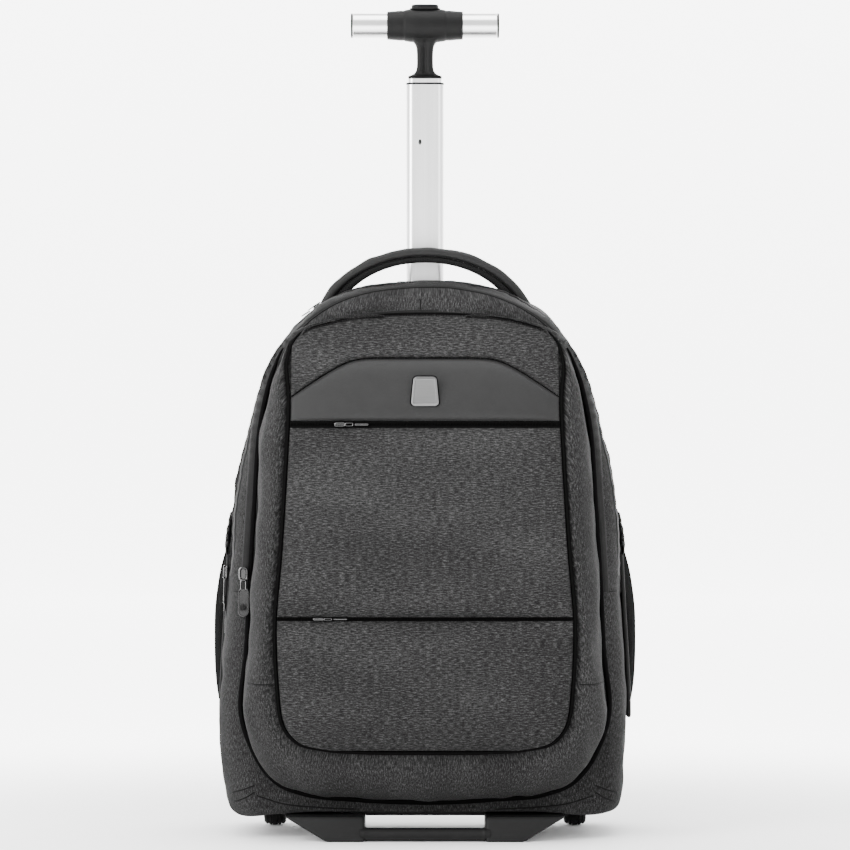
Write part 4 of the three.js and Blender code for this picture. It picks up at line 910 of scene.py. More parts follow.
middle = (0, 30, 250)
zip_edges = (zip_y - bag_front + np.array([-5.8, -5.2, -4.7, -4.2, 4.2, 4.7, 5.2, 5.8])) / bag_depth
along = bag_rows(zip_edges, 54)
body = bag_grid(along)
normals = grid_normals(body, middle)
print("bag rows and columns:", body.shape[:2])

# %% Swelling, the zip's trench, and puckers beside it
perimeter = grid_lengths(body)[..., 0]
above_foot = 1 / (1 + np.exp(-(body[..., 2] - zip_foot - 2) / 1.2))
from_zip = np.abs(along * bag_depth + bag_front - zip_y)[:, None]
trench = np.clip((5.2 - from_zip) / 0.5, 0, 1)
folded = np.exp(-(((from_zip - 6.2) / 1.8) ** 2))
edge_fade = np.clip(np.minimum(along, 1 - along) / 0.12, 0, 1)[:, None]
push = 1.0 * slow_waves(body, 95, 3) * edge_fade
push += 0.45 * slow_waves(body, 34, 4) * edge_fade
push += above_foot * (0.55 * folded - 2.4 * trench)
push -= above_foot * 0.7 * puckers(perimeter, from_zip - 6, 13, 7, 5) * (1 - trench)
low_sag = np.exp(-(((body[..., 2] - 60) / 40) ** 2)) * np.abs(body[..., 0] / 182) ** 4
push += 1.6 * low_sag * edge_fade
body = body + normals * push[..., None]
print("deepest and highest push:", round(float(push.min()), 2), round(float(push.max()), 2))


# %% Front and back sheets close the body
def shrunk(ring, shares, middle_z=260.0):
    """Copies of a ring drawn towards the middle of the sheet."""
    centre = np.array([0, ring[:, 1].mean(), middle_z])
    grid = centre + (ring - centre)[None] * np.asarray(shares)[:, None, None]
    return grid


sheet_shares = np.concatenate([1 - 0.16 * np.linspace(0, 1, 26)[1:], np.linspace(0.84, 0, 12)[1:]])
front_sheet = shrunk(body[0], sheet_shares)
x, z = front_sheet[..., 0], front_sheet[..., 2]
lean_edge = bag_lean(body[0][:, 0], body[0][:, 2])
blend_in = np.clip((1 - sheet_shares) / 0.03, 0, 1)[:, None]
front_sheet[..., 1] = bag_front - bag_lean(x, z) * blend_in - lean_edge * (1 - blend_in)
front_sheet[..., 1] -= 1.5 * np.sin(np.pi * np.clip((1 - sheet_shares) / 0.14, 0, 1))[:, None]
front_sheet[..., 1] += 0.5 * slow_waves(front_sheet, 45, 6) * blend_in
back_sheet = shrunk(body[-1], sheet_shares)
back_sheet[..., 1] = bag_back + 0.3 * slow_waves(back_sheet, 60, 7) * (sheet_shares[:, None] < 0.97)
closed = np.concatenate([front_sheet[::-1], body, back_sheet], axis=0)
bag_skin = patch(closed, middle, upright_uv(closed))
print("bag skin points:", len(bag_skin["spots"]))


# %% [markdown]
# ## Openings in the skin
# The wheel housings stand in pockets of the bag's lower corners, and the pole comes out of its
# top. A cutter of the housing's own outline is taken out of the closed skin, so that the cloth
# ends where the hard parts begin.

# %% Cutters and the finished skin
def loop_2d(points):
    """A closed loop of points in a plane."""
    points = np.asarray(points, float)
    return np.vstack([points, points[:1]])


def rounded_rect(width, height, radius, inset=0.0, steps=8):
    """A rectangle drawn in by inset, with a quarter circle at each corner."""
    w, h = width / 2 - inset, height / 2 - inset
    r = max(min(radius - inset, w, h), 0.05)
    turn = np.linspace(0, np.pi / 2, steps + 1)
    arc = np.stack([np.cos(turn), np.sin(turn)], axis=1) * r
    corners = [
        arc + (w - r, h - r),
        np.stack([-arc[:, 1], arc[:, 0]], axis=1) + (-w + r, h - r),
        -arc + (-w + r, -h + r),
        np.stack([arc[:, 1], -arc[:, 0]], axis=1) + (w - r, -h + r),
    ]
    return loop_2d(np.vstack(corners))


def placed(loop, origin, right, up):
    """A flat loop put in space along two directions."""
    origin, right, up = (np.asarray(v, float) for v in (origin, right, up))
    return origin + loop[:, :1] * right + loop[:, 1:2] * up


def level_ring(loop, z):
    """A flat loop laid level round the pole's axis, at a height."""
    return placed(loop, (0, pole_y, z), (1, 0, 0), (0, 1, 0))


def stack(rings, close=(True, True)):
    """Rings of as many points, skinned in order. A closed end gets a ring a little inside its
    last, which keeps its rim crisp, and then goes to the middle."""
    rings = [np.asarray(r, float) for r in rings]
    for end, shut in zip((0, -1), close):
        if shut:
            ring = rings[end]
            centre = ring[:-1].mean(axis=0)
            inner = [centre + (ring - centre) * 0.95, np.repeat(centre[None], len(ring), axis=0)]
            rings = inner[::-1] + rings if end == 0 else rings + inner
    return patch(np.stack(rings))


def housing_loop(radius, below, behind):
    """Seen from the side: an arch over the wheel that runs on to the bag's back."""
    turn = np.linspace(np.pi, np.pi / 2 * 0.41, 26)
    arc = np.stack([radius * np.cos(turn) + wheel_y, radius * np.sin(turn) + wheel_radius], axis=1)
    top = wheel_radius + radius * 0.6
    reach = wheel_y + radius * 0.8
    rest = [(reach, top), (behind, top), (behind, below), (wheel_y - radius, below)]
    arc = arc[(arc[:, 0] < reach) | (arc[:, 1] > top)]
    return loop_2d(np.vstack([arc, rest]))


def side_prism(loop, x0, x1):
    """A side-view loop carried across, and closed at both ends."""
    ends = [np.column_stack([np.full(len(loop), x), loop]) for x in (x0, x1)]
    return stack(ends)


def cut_away(piece, part):
    """The part's volume taken out of the piece with an exact boolean, applied at once."""
    mesh = bare_mesh("cutter", part)
    mesh.uv_layers.new(name="cloth")
    work = bmesh.new()
    work.from_mesh(mesh)
    bmesh.ops.remove_doubles(work, verts=work.verts, dist=2e-6)
    bmesh.ops.recalc_face_normals(work, faces=work.faces)
    work.to_mesh(mesh)
    work.free()
    cutter = bpy.data.objects.new("cutter", mesh)
    bpy.context.scene.collection.objects.link(cutter)
    modifier = piece.modifiers.new("opening", "BOOLEAN")
    modifier.operation = "DIFFERENCE"
    modifier.solver = "EXACT"
    modifier.object = cutter
    shown = bpy.context.evaluated_depsgraph_get()
    changed = bpy.data.meshes.new_from_object(piece.evaluated_get(shown))
    piece.modifiers.clear()
    old = piece.data
    piece.data = changed
    bpy.data.meshes.remove(old)
    bpy.data.objects.remove(cutter)
    bpy.data.meshes.remove(mesh)
    piece.data.set_sharp_from_angle(angle=math.radians(40))
    return len(piece.data.polygons)


bag_cloth = make_piece("bag_cloth", bag_skin, gusset_cloth, instead_of=["bag_shell"])
recess = side_prism(housing_loop(35.7, -20, 130), 121.3, 152.7)
print("faces after the openings:", cut_away(bag_cloth, recess), cut_away(bag_cloth, mirrored(recess)))
sleeve_foot = node_box("pole_sleeve")[0][2]
print("sleeve foot at", round(sleeve_foot, 1))
neck = stack([level_ring(rounded_rect(47, 25, 6), z) for z in (sleeve_foot - 0.5, 520)])
print("faces after the pole's opening:", cut_away(bag_cloth, neck))

# %% [markdown]
# ## The main zip
# Two tapes lie in the trench, and their coil runs along the middle. The coil is a real zip
# coil's look in small: a row of short bars across the line. The tapes are a narrow strip of the
# same outline, drawn in, and the bars are set along it at an even pitch.

# %% Small repeated shapes set along a line
def bars(centres, across, out, length, width, height):
    """A low rounded bar at each centre: two ends and a raised middle, four corners round."""
    centres = np.asarray(centres, float)
    along = np.cross(across, out)
    along /= np.linalg.norm(along, axis=1, keepdims=True)
    ends = np.array([-0.5, -0.32, 0.0, 0.32, 0.5]) * length
    size = np.array([0.35, 0.9, 1.0, 0.9, 0.35])
    corner = np.array([(-1, 0), (0, 1), (1, 0), (0, -1), (-1, 0)], float)
    spots = (
        centres[:, None, None]
        + ends[None, :, None, None] * across[:, None, None]
        + (corner[:, 0] * width / 2)[None, None, :, None] * size[None, :, None, None] * along[:, None, None]
        + (corner[:, 1] * height / 2)[None, None, :, None] * size[None, :, None, None] * out[:, None, None]
    )
    count, rows, columns = spots.shape[:3]
    index = np.arange(rows * columns).reshape(rows, columns)
    quad = np.vstack([grid_quads(rows, columns), index[0, 3::-1], index[-1, :4]])
    first = spots[0].reshape(-1, 3)
    corners = first[quad]
    if np.sum(quad_normals(corners) * (corners.mean(axis=1) - first.mean(axis=0))) < 0:
        quad = quad[:, ::-1]
    faces = (quad[None] + (np.arange(count) * rows * columns)[:, None, None]).reshape(-1, 4)
    bar_uv = np.stack(np.meshgrid(np.linspace(0, width * 3, columns), ends), axis=-1)
    uv = np.tile(bar_uv.reshape(-1, 2), (count, 1))
    return {"spots": spots.reshape(-1, 3), "faces": faces, "uv": uv / 1000}


def along_line(line, pitch, start=0.0, stop=None):
    """Places at an even pitch on a line, the direction there, and how far along they are."""
    run = run_along(line)
    stop = run[-1] if stop is None else stop
    places = np.arange(start + pitch / 2, stop, pitch)
    here = read_line(line, run, places)
    ahead = read_line(line, run, np.minimum(places + 0.3, run[-1]))
    behind = read_line(line, run, np.maximum(places - 0.3, 0))
    way = ahead - behind
    return here, way / np.linalg.norm(way, axis=1, keepdims=True), places


def unit(vectors):
    """Vectors of length one."""
    return vectors / (np.linalg.norm(vectors, axis=-1, keepdims=True) + 1e-12)


# %% Tapes and coil of the main zip
zip_columns = bag_loop[:, 1] * bag_height + bag_lift >= zip_foot - 1
zip_loop = bag_loop[zip_columns]
tape_along = (zip_y - bag_front + np.linspace(-4.9, 4.9, 9)) / bag_depth
tape = bag_grid(tape_along, zip_loop, grow=-1.5)
tape_part = patch(tape, middle)
coil_line = bag_grid(np.array([(zip_y - bag_front) / bag_depth]), zip_loop, grow=-0.7)[0]
here, way, _ = along_line(coil_line, 1.35)
out = unit(np.cross(way, np.array([0.0, 1.0, 0.0])))
out *= np.sign(np.sum(out * (here - middle), axis=1, keepdims=True))
across = np.tile(np.array([0.0, 1.0, 0.0]), (len(here), 1))
coil_part = bars(here, across, out, 4.2, 1.0, 1.7)
make_piece(
    "main_zip", joined(tape_part, coil_part), zip_tape,
    instead_of=["main_zip_tape"], sharp=60,
)
print("main zip bars:", len(here))

# %% [markdown]
# ## The front compartment
# Its gusset rolls forward from the bag's front sheet to the front panels: tucked in at the
# first seam, swelling over a rounded shoulder, and tucked in again at the second seam. Each row
# mixes the outer outline with the face's outline, while its depth goes from sheet to face.

# %% Rows of the gusset
def raised_loop(loop, width, height, lift):
    """An outline's shares as places in front view, a lift above the bag's foot."""
    return np.stack([loop[:, 0] * width / 2, bag_lift + lift + loop[:, 1] * height], axis=1)


gusset_stations = smooth_line([
    (0, 0.02), (0, 0.12), (-0.02, 0.45), (0.08, 0.75), (0.38, 0.94), (0.8, 0.985), (1, 1),
])
gusset = even_steps(gusset_stations * (40, 70), 50) / (40, 70)
base = raised_loop(pouch_loop, pouch_width, pouch_height, pouch_lift)
edge = raised_loop(face_loop, face_width, face_height, face_lift)
drawn, forward = gusset[:, 0][:, None], gusset[:, 1][:, None]
edge_out = edge + loop_out(edge) * 0.9
flat = base[None] * (1 - drawn[..., None]) + edge_out[None] * drawn[..., None]
x, z = flat[..., 0], flat[..., 1]
sheet_y = bag_front - bag_lean(x, z)
y = bag_front * (1 - forward) + face_y(x, z) * forward
rise = sheet_y - y
y = np.where(rise > -3, y, sheet_y + 3)
roll = np.stack([x, y, z], axis=-1)
normals = grid_normals(roll, (0, 10, 250))
print("gusset rises", round(float(rise.max()), 1), "mm above the sheet at most")

# %% Tucks at both seams, and the shoulder's swell
loop_run = grid_lengths(roll)[..., 0]
place = np.linspace(0, 1, len(gusset))[:, None]
outer_seam = np.exp(-(np.clip(rise, 0, None) / 3.2) ** 1.5)
inner_seam = np.exp(-(((1 - place) / 0.055) ** 2))
shoulder = np.exp(-(((place - 0.85) / 0.085) ** 2))
gusset_push = 2.5 * shoulder - 3.6 * outer_seam - 4.2 * inner_seam
gusset_push += 0.75 * slow_waves(roll, 80, 11) + 0.4 * slow_waves(roll, 26, 12) * (1 - inner_seam)
gusset_push -= 0.9 * puckers(loop_run, (1 - place) * 80 - 5, 15, 9, 13)
gusset_push -= 0.8 * puckers(loop_run, np.clip(rise, 0, None), 17, 9, 14)
roll = roll + normals * gusset_push[..., None]
inner_shares = np.array([0.985, 0.97, 0.93, 0.8, 0.5, 0.0])
floor_rows = shrunk(np.column_stack([edge[:, 0], np.zeros(len(edge)), edge[:, 1]]), inner_shares)
floor_rows[..., 1] = face_y(floor_rows[..., 0], floor_rows[..., 2]) + 3.4
gusset_all = np.concatenate([roll, floor_rows], axis=0)
gusset_part = patch(gusset_all, (0, 10, 250), upright_uv(gusset_all, -100.0))
make_piece("front_gusset", gusset_part, gusset_cloth, instead_of=["front_compartment"])

# %% [markdown]
# ## Padded front panels
# A padded panel is thin at its sewn edge and swells towards its middle. The edge turns under
# like a quarter circle into the seam, and short puckers pull in from it. All four panels are
# one surface with other edges: the sides follow the face's outline, and the upper and lower
# edges are given as heights across the panel.

# %% The panel surface
def edge_spacing(count, crowd):
    """Shares from 0 to 1 that crowd together at both ends."""
    even = np.linspace(-1, 1, count)
    return 0.5 + 0.5 * np.sin(even * np.pi / 2 * crowd) / math.sin(np.pi / 2 * crowd)


def panel_part(low_of, high_of, side_of, puff, seed, columns=190, rows=120, sunk=3.2, quilt=0.55):
    """Across and up shares give x and z. The surface stands ahead of the face by an edge, a
    swell that is flat in the middle, a quarter circle at the rim, slow waves and puckers."""
    s = edge_spacing(columns, 0.86)[None, :] * 2 - 1
    v = edge_spacing(rows, 0.86)[:, None]
    x = s * np.ones_like(v) * side_of(np.full_like(v * s, 250.0))
    for _ in range(3):
        low, high = low_of(x), high_of(x)
        z = low + (high - low) * v
        x = s * side_of(z)
    width = side_of(z)
    from_side = (1 - np.abs(s)) * width
    from_end = np.minimum(v, 1 - v) * (high - low)
    rim = np.minimum(from_side, from_end)
    radius = 3.4
    rim_round = np.sqrt(np.clip(1 - (1 - np.clip(rim / radius, 0, 1)) ** 2, 0, 1))
    swell = (1 - np.abs(s) ** 6) * (1 - np.abs(2 * v - 1) ** 6)
    spots = np.stack([x, np.zeros_like(x), z], axis=-1)
    inside = np.clip(rim / 14, 0, 1)
    gather = puckers(x + z * 0.15, from_end, 14, 10, seed) + puckers(z, from_side, 16, 11, seed + 1)
    thick = 1.7 * rim_round + puff * swell
    waves = quilt * slow_waves(spots, 85, seed + 2) + 0.4 * quilt * slow_waves(spots, 30, seed + 3)
    thick += inside * waves
    thick -= 1.4 * quilt * gather * np.clip(rim / 3, 0, 1)
    y = face_y(x, z) - 0.3 - thick
    skirt = np.pad(np.stack([x, y, z], axis=-1), ((1, 1), (1, 1), (0, 0)), mode="edge")
    skirt[..., 1] += np.pad(np.zeros((rows, columns)), 1, constant_values=sunk)
    uv = np.stack([skirt[..., 0], skirt[..., 2]], axis=-1)
    return patch(skirt, (0, 400, 250), uv)


lower_zip = bag_lift + 175
upper_zip = bag_lift + 344.5
panel_seam = 2.2
flap_level = 389.0
face_foot = bag_lift + face_lift + panel_seam
flap_side = float(face_half_width(flap_level)) - panel_seam


def flap_top(x):
    """The flap's crest is straight in the middle, then falls to its ends."""
    past = np.log1p(np.exp((np.abs(x) - 62) / 6.5)) * 6.5
    fall = np.clip(past / (face_half_width(flap_level) - 62), 0, 1)
    return bag_lift + 403 - (403 - 367) * fall**1.15


def face_side(z):
    """The face's own half width, less the seam."""
    return face_half_width(z) - panel_seam


def flap_ends(z):
    """Half the flap's width, the same at each height."""
    return np.full_like(z, flap_side)


def level(height):
    """An edge at one height."""
    return lambda x: np.full_like(x, height)


# %% Four panels
panel_things = [
    make_piece(
        "lower_panel",
        panel_part(level(face_foot), level(lower_zip - 1.7), face_side, 10.1, 21),
        panel_cloth, instead_of=["lower_pocket_panel"],
    ),
    make_piece(
        "upper_panel",
        panel_part(level(lower_zip + 1.7), level(upper_zip - 3), face_side, 8.1, 31, rows=150),
        panel_cloth, instead_of=["upper_pocket_panel"],
    ),
    make_piece(
        "smooth_flap",
        panel_part(
            level(upper_zip + 3), lambda x: flap_top(x) - 0.7, flap_ends, 4.0, 41, rows=70, quilt=0.14,
        ),
        flap_leather, instead_of=["flap_panel"],
    ),
    make_piece(
        "yoke_cloth",
        panel_part(
            lambda x: flap_top(x) + 0.7, lambda x: face_top(x) - panel_seam, flap_ends,
            4.0, 51, rows=80, quilt=0.4,
        ),
        panel_cloth, instead_of=["yoke_panel"],
    ),
]
print("padded panels:", len(panel_things))

# %% [markdown]
# ## Zips between the panels, and the dark seams
# The pocket zips are sewn in the gaps between two panels, face down, so only a black tape and a
# hint of its coil show. The seams round the panels and round the gusset are deep and black: a
# near-black cord lies at their bottom as a painted shadow, which keeps them black even in soft light.

# %% A cord along a line, and tapes in the gaps
def cord_part(line, radius, sides=8, shut=False):
    """A round section carried along a line: each ring stands square to the line there."""
    line = np.asarray(line, float)
    way = np.gradient(line, axis=0)
    if shut:
        way[0] = way[-1] = line[1] - line[-2]
    way = unit(way)
    steady = np.array([0.0, 1.0, 0.0])
    steady = np.where(np.abs(way @ steady)[:, None] > 0.9, np.array([1.0, 0.0, 0.0]), steady)
    first = unit(np.cross(way, steady))
    second = np.cross(first, way)
    turn = np.linspace(0, 2 * np.pi, sides + 1)
    radius = np.broadcast_to(np.asarray(radius, float), (len(line),))[:, None, None]
    ring = np.cos(turn)[None, :, None] * first[:, None] + np.sin(turn)[None, :, None] * second[:, None]
    rings = line[:, None] + radius * ring
    length = run_along(line)
    uv = np.stack(np.meshgrid(turn * 0.8, length)[::-1], axis=-1)
    part = patch(rings, line.mean(axis=0), uv)
    corners = part["spots"][part["faces"][: sides]]
    if np.sum(quad_normals(corners) * (corners.mean(axis=1) - line[:2].mean(axis=0))) < 0:
        part["faces"] = part["faces"][:, ::-1]
    if shut:
        return part
    tips = [stack_cap(rings[0], line[0] - way[0] * radius[0, 0] * 0.4, line[1]),
            stack_cap(rings[-1], line[-1] + way[-1] * radius[-1, 0] * 0.4, line[-2])]
    return joined(part, *tips)


def stack_cap(ring, tip, inside):
    """A ring closed to a point, facing away from a place inside."""
    return patch(np.stack([ring, np.repeat(np.asarray(tip)[None], len(ring), axis=0)]), inside)


def gap_tape(z, tall):
    """A tape at one height across the face, sunk in its gap, with coil bars on it."""
    reach = float(face_half_width(z)) - 2.0
    across_x = np.linspace(-reach, reach, 160)
    rows = z + np.linspace(-tall / 2, tall / 2, 7)
    x, zz = np.meshgrid(across_x, rows)
    y = face_y(x, zz) - 0.6 + 0.25 * np.cos((zz - z) / tall * 2 * np.pi)
    strip = np.stack([x, y, zz], axis=-1)
    part = patch(strip, (0, 400, 250), np.stack([x, zz], axis=-1))
    level_z = np.full_like(across_x, z)
    line = np.stack([across_x, face_y(across_x, level_z) - 1.2, level_z], axis=1)
    here, way, _ = along_line(line, 1.3)
    out = np.tile((0.0, -1.0, 0.0), (len(here), 1))
    side = unit(np.cross(way, out))
    return joined(part, bars(here, side, out, min(2.4, tall * 0.62), 0.8, 1.0))


# The tapes are near-black: a black tape, and also painted shade in the gap between the panels.
for which, zip_z, tall in (("lower", lower_zip, 3.0), ("upper", upper_zip, 5.6)):
    make_piece(
        f"{which}_gap_zip", gap_tape(zip_z, tall), black_tape_and_painted_shadow,
        instead_of=[f"{which}_pocket_zip"], sharp=60,
    )

# %% Dark cords at the bottom of both seams, as painted shadow
soft_top = np.clip((edge[:, 1] - 412) / 34, 0, 1)
inner_line = np.column_stack([edge[:, 0], face_y(edge[:, 0], edge[:, 1]) + 0.9 - 2.4 * soft_top, edge[:, 1]])
inner_shadow_cord = cord_part(inner_line, 1.7 - 0.8 * soft_top, 10, shut=True)
seat = np.roll((base + loop_out(base) * 3.2)[:-1], -int(np.argmax(base[:-1, 1])), axis=0)
seat = seat[seat[:, 1] < 436]
fade = np.clip((seat[:, 1] - 405) / 30, 0, 1)
outer_y = bag_front - bag_lean(seat[:, 0], seat[:, 1]) - 0.9 + 2 * fade
outer_line = np.column_stack([seat[:, 0], outer_y, seat[:, 1]])
outer_shadow_cord = cord_part(outer_line, 2.5 - 1.7 * fade, 10)
make_piece("painted_shadow_seam_cords", joined(inner_shadow_cord, outer_shadow_cord), black_tape_and_painted_shadow)


# %% [markdown]
# ## The smooth strips by the zips
# Beside the front compartment runs a smooth dark strip that hides its zip. It is widest at the
# side and tapers away under the yoke. Over the top of the bag, both sides of the main zip are
# faced with the same smooth cloth. The strips lie on the bag's own rows, a little higher.

# %% How the bag's front edge falls away
def edge_drop(inside_by):
    """How far the rounded front edge has fallen back, a distance inside the bag's outline."""
    inset = bag_stations[:60, 1][::-1] * edge_round
    drop = bag_stations[:60, 0][::-1] * bag_depth
    return np.interp(inside_by, rising(inset), drop)


def front_skin(x, z):
    """The bag's front sheet, falling back near its outline."""
    ring = bag_loop * (bag_width / 2, bag_height) + (0, bag_lift)
    spots = np.stack([x, z], axis=-1).reshape(-1, 1, 2)
    distance = np.sqrt(((spots - ring[None, ::4]) ** 2).sum(axis=-1)).min(axis=1).reshape(x.shape)
    drop = edge_drop(distance)
    return bag_front - bag_lean(x, z) * (1 - drop / bag_depth / 0.45) + drop


# %% The strip beside the front compartment
side_columns = base[:, 1] >= zip_foot
strip_line = base[side_columns]
tangent = unit(np.gradient(strip_line, axis=0))
outward = np.stack([tangent[:, 1], -tangent[:, 0]], axis=1)
outward *= np.sign(np.sum(outward * (strip_line - (0, 250)), axis=1, keepdims=True))
taper = np.clip((468 - strip_line[:, 1]) / 60, 0.12, 1) ** 0.7
reach = np.linspace(-0.25, 1, 15)
spread = strip_line[None] + outward[None] * (reach[:, None, None] * 11.5 * taper[None, :, None])
strip_y = front_skin(spread[..., 0], spread[..., 1])
lift = 0.9 * (1 - np.clip(reach, 0, 1) ** 3) - 0.3 * np.exp(-(((reach - 0.45) / 0.06) ** 2))
strip = np.stack([spread[..., 0], strip_y - 1.1 - lift[:, None], spread[..., 1]], axis=-1)
strip[..., 1] -= 0.25 * slow_waves(strip, 30, 71)
strip[-1, :, 1] += 1.5
strip_leather = leather_material("strip leather", 5, 0.7)
make_piece(
    "front_zip_strip", patch(strip, (0, 300, 250)), strip_leather,
    instead_of=["front_zip_tape"],
)

# %% Facings on both sides of the main zip, over the top
body_normals = grid_normals(body, middle)


def facing_part(low_of, high_of, height, rows=14):
    """Between two rows that change with the height, the body's skin is read off and lifted along
    its normals. The strip's edges and ends are let down into the cloth."""
    columns = np.flatnonzero(body[0, :, 2] >= zip_foot + 2)
    level_z = body[len(body) // 2, columns, 2]
    share = np.linspace(0, 1, rows)[:, None]
    wanted = low_of(level_z)[None] * (1 - share) + high_of(level_z)[None] * share
    row = np.interp(wanted, along, np.arange(len(along)))
    first = np.minimum(row.astype(int), len(along) - 2)
    part_way = (row - first)[..., None]

    def between_rows(grid):
        """The grid's values between two of its rows."""
        return grid[first, columns[None]] * (1 - part_way) + grid[first + 1, columns[None]] * part_way

    skin = between_rows(body)
    up = between_rows(body_normals)
    rim = 1 - np.abs(2 * share - 1) ** 8
    count = np.arange(len(columns))
    ends = np.clip(np.minimum(count, count[::-1]) / 14, 0, 1)[None]
    return patch(skin + unit(up) * (height * rim * ends - 0.2)[..., None], middle)


def over_top(z, at_side, at_top):
    """A row's depth share, from its value at the side to its value over the top."""
    share = np.clip((z - 400) / 80, 0, 1)
    return at_side + (at_top - at_side) * share**1.5


zip_share = (zip_y - bag_front) / bag_depth
facing = joined(
    facing_part(lambda z: over_top(z, 0.1, 0.055), lambda z: np.full_like(z, zip_share - 0.05), 1.0),
    facing_part(lambda z: np.full_like(z, zip_share + 0.05), lambda z: over_top(z, 0.33, 0.5), 1.0),
)
make_piece("zip_facing", facing, strip_leather)

# %% [markdown]
# ## Stitching
# Each visible stitch is a short thread that dips into the cloth at both ends. All stitches of a
# seam are one mesh: one small bar, repeated along the seam's line with its own direction.

# %% Rows of stitches
def stitch_part(line, out, pitch=3.0, length=2.1, thick=0.55, raise_by=0.1):
    """Bars at an even pitch along a line, lying on a surface whose outward direction is out."""
    run = run_along(line)
    here, way, places = along_line(line, pitch)
    outs = unit(read_line(np.asarray(out, float), run, places))
    return bars(here + outs * raise_by, way, outs, length, thick, thick * 0.8)


def face_stitches(x, z, off):
    """Stitches on the front of the face: the line's depth is the panel's own."""
    line = np.column_stack([x, off, z])
    return stitch_part(line, np.tile((0.0, -1.0, 0.0), (len(line), 1)), thick=0.5)


def surface_y(thing, x, z, from_y=-300.0):
    """Where rays sent back from in front of a piece meet it, in millimetres."""
    shown = thing.evaluated_get(bpy.context.evaluated_depsgraph_get())
    hits = []
    for px, pz in zip(x, z):
        found, spot, _, _ = shown.ray_cast((px / 1000, from_y / 1000, pz / 1000), (0, 1, 0))
        hits.append(spot[1] * 1000 if found else np.nan)
    hits = np.array(hits)
    good = ~np.isnan(hits)
    return np.interp(np.arange(len(hits)), np.arange(len(hits))[good], hits[good])


# %% Stitched lines on the flap, the panels and the lower corners
flap_x = np.linspace(-flap_side + 6, flap_side - 6, 220)
flap_low = np.full_like(flap_x, upper_zip + 3 + 2.4)
panel_x = np.linspace(-120, 120, 220)
upper_low = np.full_like(panel_x, lower_zip + 1.7 + 2.2)
stitched = [
    face_stitches(flap_x, flap_low, surface_y(panel_things[2], flap_x, flap_low)),
    face_stitches(panel_x, upper_low, surface_y(panel_things[1], panel_x, upper_low)),
]
print("stitched lines:", len(stitched))


def drawn_line(places, count=60):
    """A smooth line through front-view places of x and z."""
    line = even_steps(smooth_line(places, 12), count)
    return line[:, 0], line[:, 1]


def pressed_seam(thing, places, radius=0.45, sink=0.05):
    """A thin dark cord that lies on a piece along a line drawn in front view."""
    x, z = drawn_line(places)
    return cord_part(np.column_stack([x, surface_y(thing, x, z) - sink, z]), radius, 6)


gusset_thing = bpy.data.objects["front_gusset"]
seams = []
for sign in (-1, 1):
    corner = [(sign * 170.5, 40), (sign * 160, 43.5), (sign * 151, 47)]
    patch_edge = [(sign * 168, 32), (sign * 158, 36.5), (sign * 151, 41)]
    under = [(sign * 149, 38), (sign * 125, 31), (sign * 95, 28), (sign * 62, 26.5)]
    strip_end = [(sign * 157.5, zip_foot + 2), (sign * 164, zip_foot + 1), (sign * 170.5, zip_foot + 1)]
    seams += [pressed_seam(bag_cloth, places, 0.6, 0.0) for places in (corner, patch_edge, under, strip_end)]
    across_gusset = [(sign * 156, 141), (sign * 146, 140), (sign * 134.5, 140)]
    seams.append(pressed_seam(gusset_thing, across_gusset, 0.5))
    x, z = drawn_line([(px, pz - 2.2) for px, pz in across_gusset], 30)
    stitched.append(face_stitches(x, z, surface_y(gusset_thing, x, z)))
seams.append(pressed_seam(bag_cloth, [(-4, 468.5), (-4, 473), (-4, 477.5)], 0.6, 0.0))
top_row = int(np.searchsorted(along, 0.053))
seams.append(cord_part(body[top_row][body[top_row, :, 2] > 452], 0.8, 6))
make_piece("pressed_seams", joined(*seams), zip_tape)
make_piece("panel_stitches", joined(*stitched), thread_cloth)


# %% [markdown]
# ## The badge plate
# A plain cast plate: a raised rim round a slightly sunk field, with bevelled edges. It stands
# proud of the smooth flap. Its outline is wider at the foot than at the top, with round corners.

# %% The badge
def trapezoid(inset):
    """The plate's outline drawn in by inset."""
    half_low, half_high, half_tall = 12.2 - inset, 10.4 - inset, 13 - inset
    corner = max(3.8 - inset, 0.6)
    spots = []
    for sx, sz, half in ((1, -1, half_low), (1, 1, half_high), (-1, 1, half_high), (-1, -1, half_low)):
        turn = np.linspace(0, np.pi / 2, 8)
        base_turn = {(1, -1): -np.pi / 2, (1, 1): 0, (-1, 1): np.pi / 2, (-1, -1): np.pi}[(sx, sz)]
        centre = np.array([sx * (half - corner), sz * (half_tall - corner)])
        arc = centre + corner * np.stack([np.cos(turn + base_turn), np.sin(turn + base_turn)], axis=1)
        spots.append(arc)
    return loop_2d(np.vstack(spots))


badge_low, badge_high = node_box("badge")
badge_back = badge_high[1]
badge_middle = (badge_low[2] + badge_high[2]) / 2
levels = [(0.0, 0.0), (0.0, 1.2), (0.25, 1.75), (0.8, 2.0), (1.7, 2.0), (2.1, 1.75), (2.4, 1.4), (2.8, 1.3)]
badge_rings = [
    placed(trapezoid(inset), (0, badge_back - rise_by, badge_middle), (1, 0, 0), (0, 0, 1))
    for inset, rise_by in levels
]
# A near-black plate, 0.9 mm wider than the badge all round, lies under it: a painted shadow round the badge's
# rim.
painted_shadow_rings = [
    placed(trapezoid(-0.9), (0, badge_back - rise_by, badge_middle), (1, 0, 0), (0, 0, 1))
    for rise_by in (-0.6, 0.45)
]
make_piece("badge_painted_shadow", stack(painted_shadow_rings), black_tape_and_painted_shadow, sharp=30)
make_piece("badge_plate", stack(badge_rings), badge_metal, instead_of=["badge"], sharp=30)

# %% [markdown]
# ## Side pockets of net
# The pockets are an open net held by an elastic hem. A see-through texture would look flat from
# the side, so each strand is real: two families of slanted strands follow the pocket's swollen
# surface and cross in diamonds. The surface is the bag's side, moved out by a bulge.

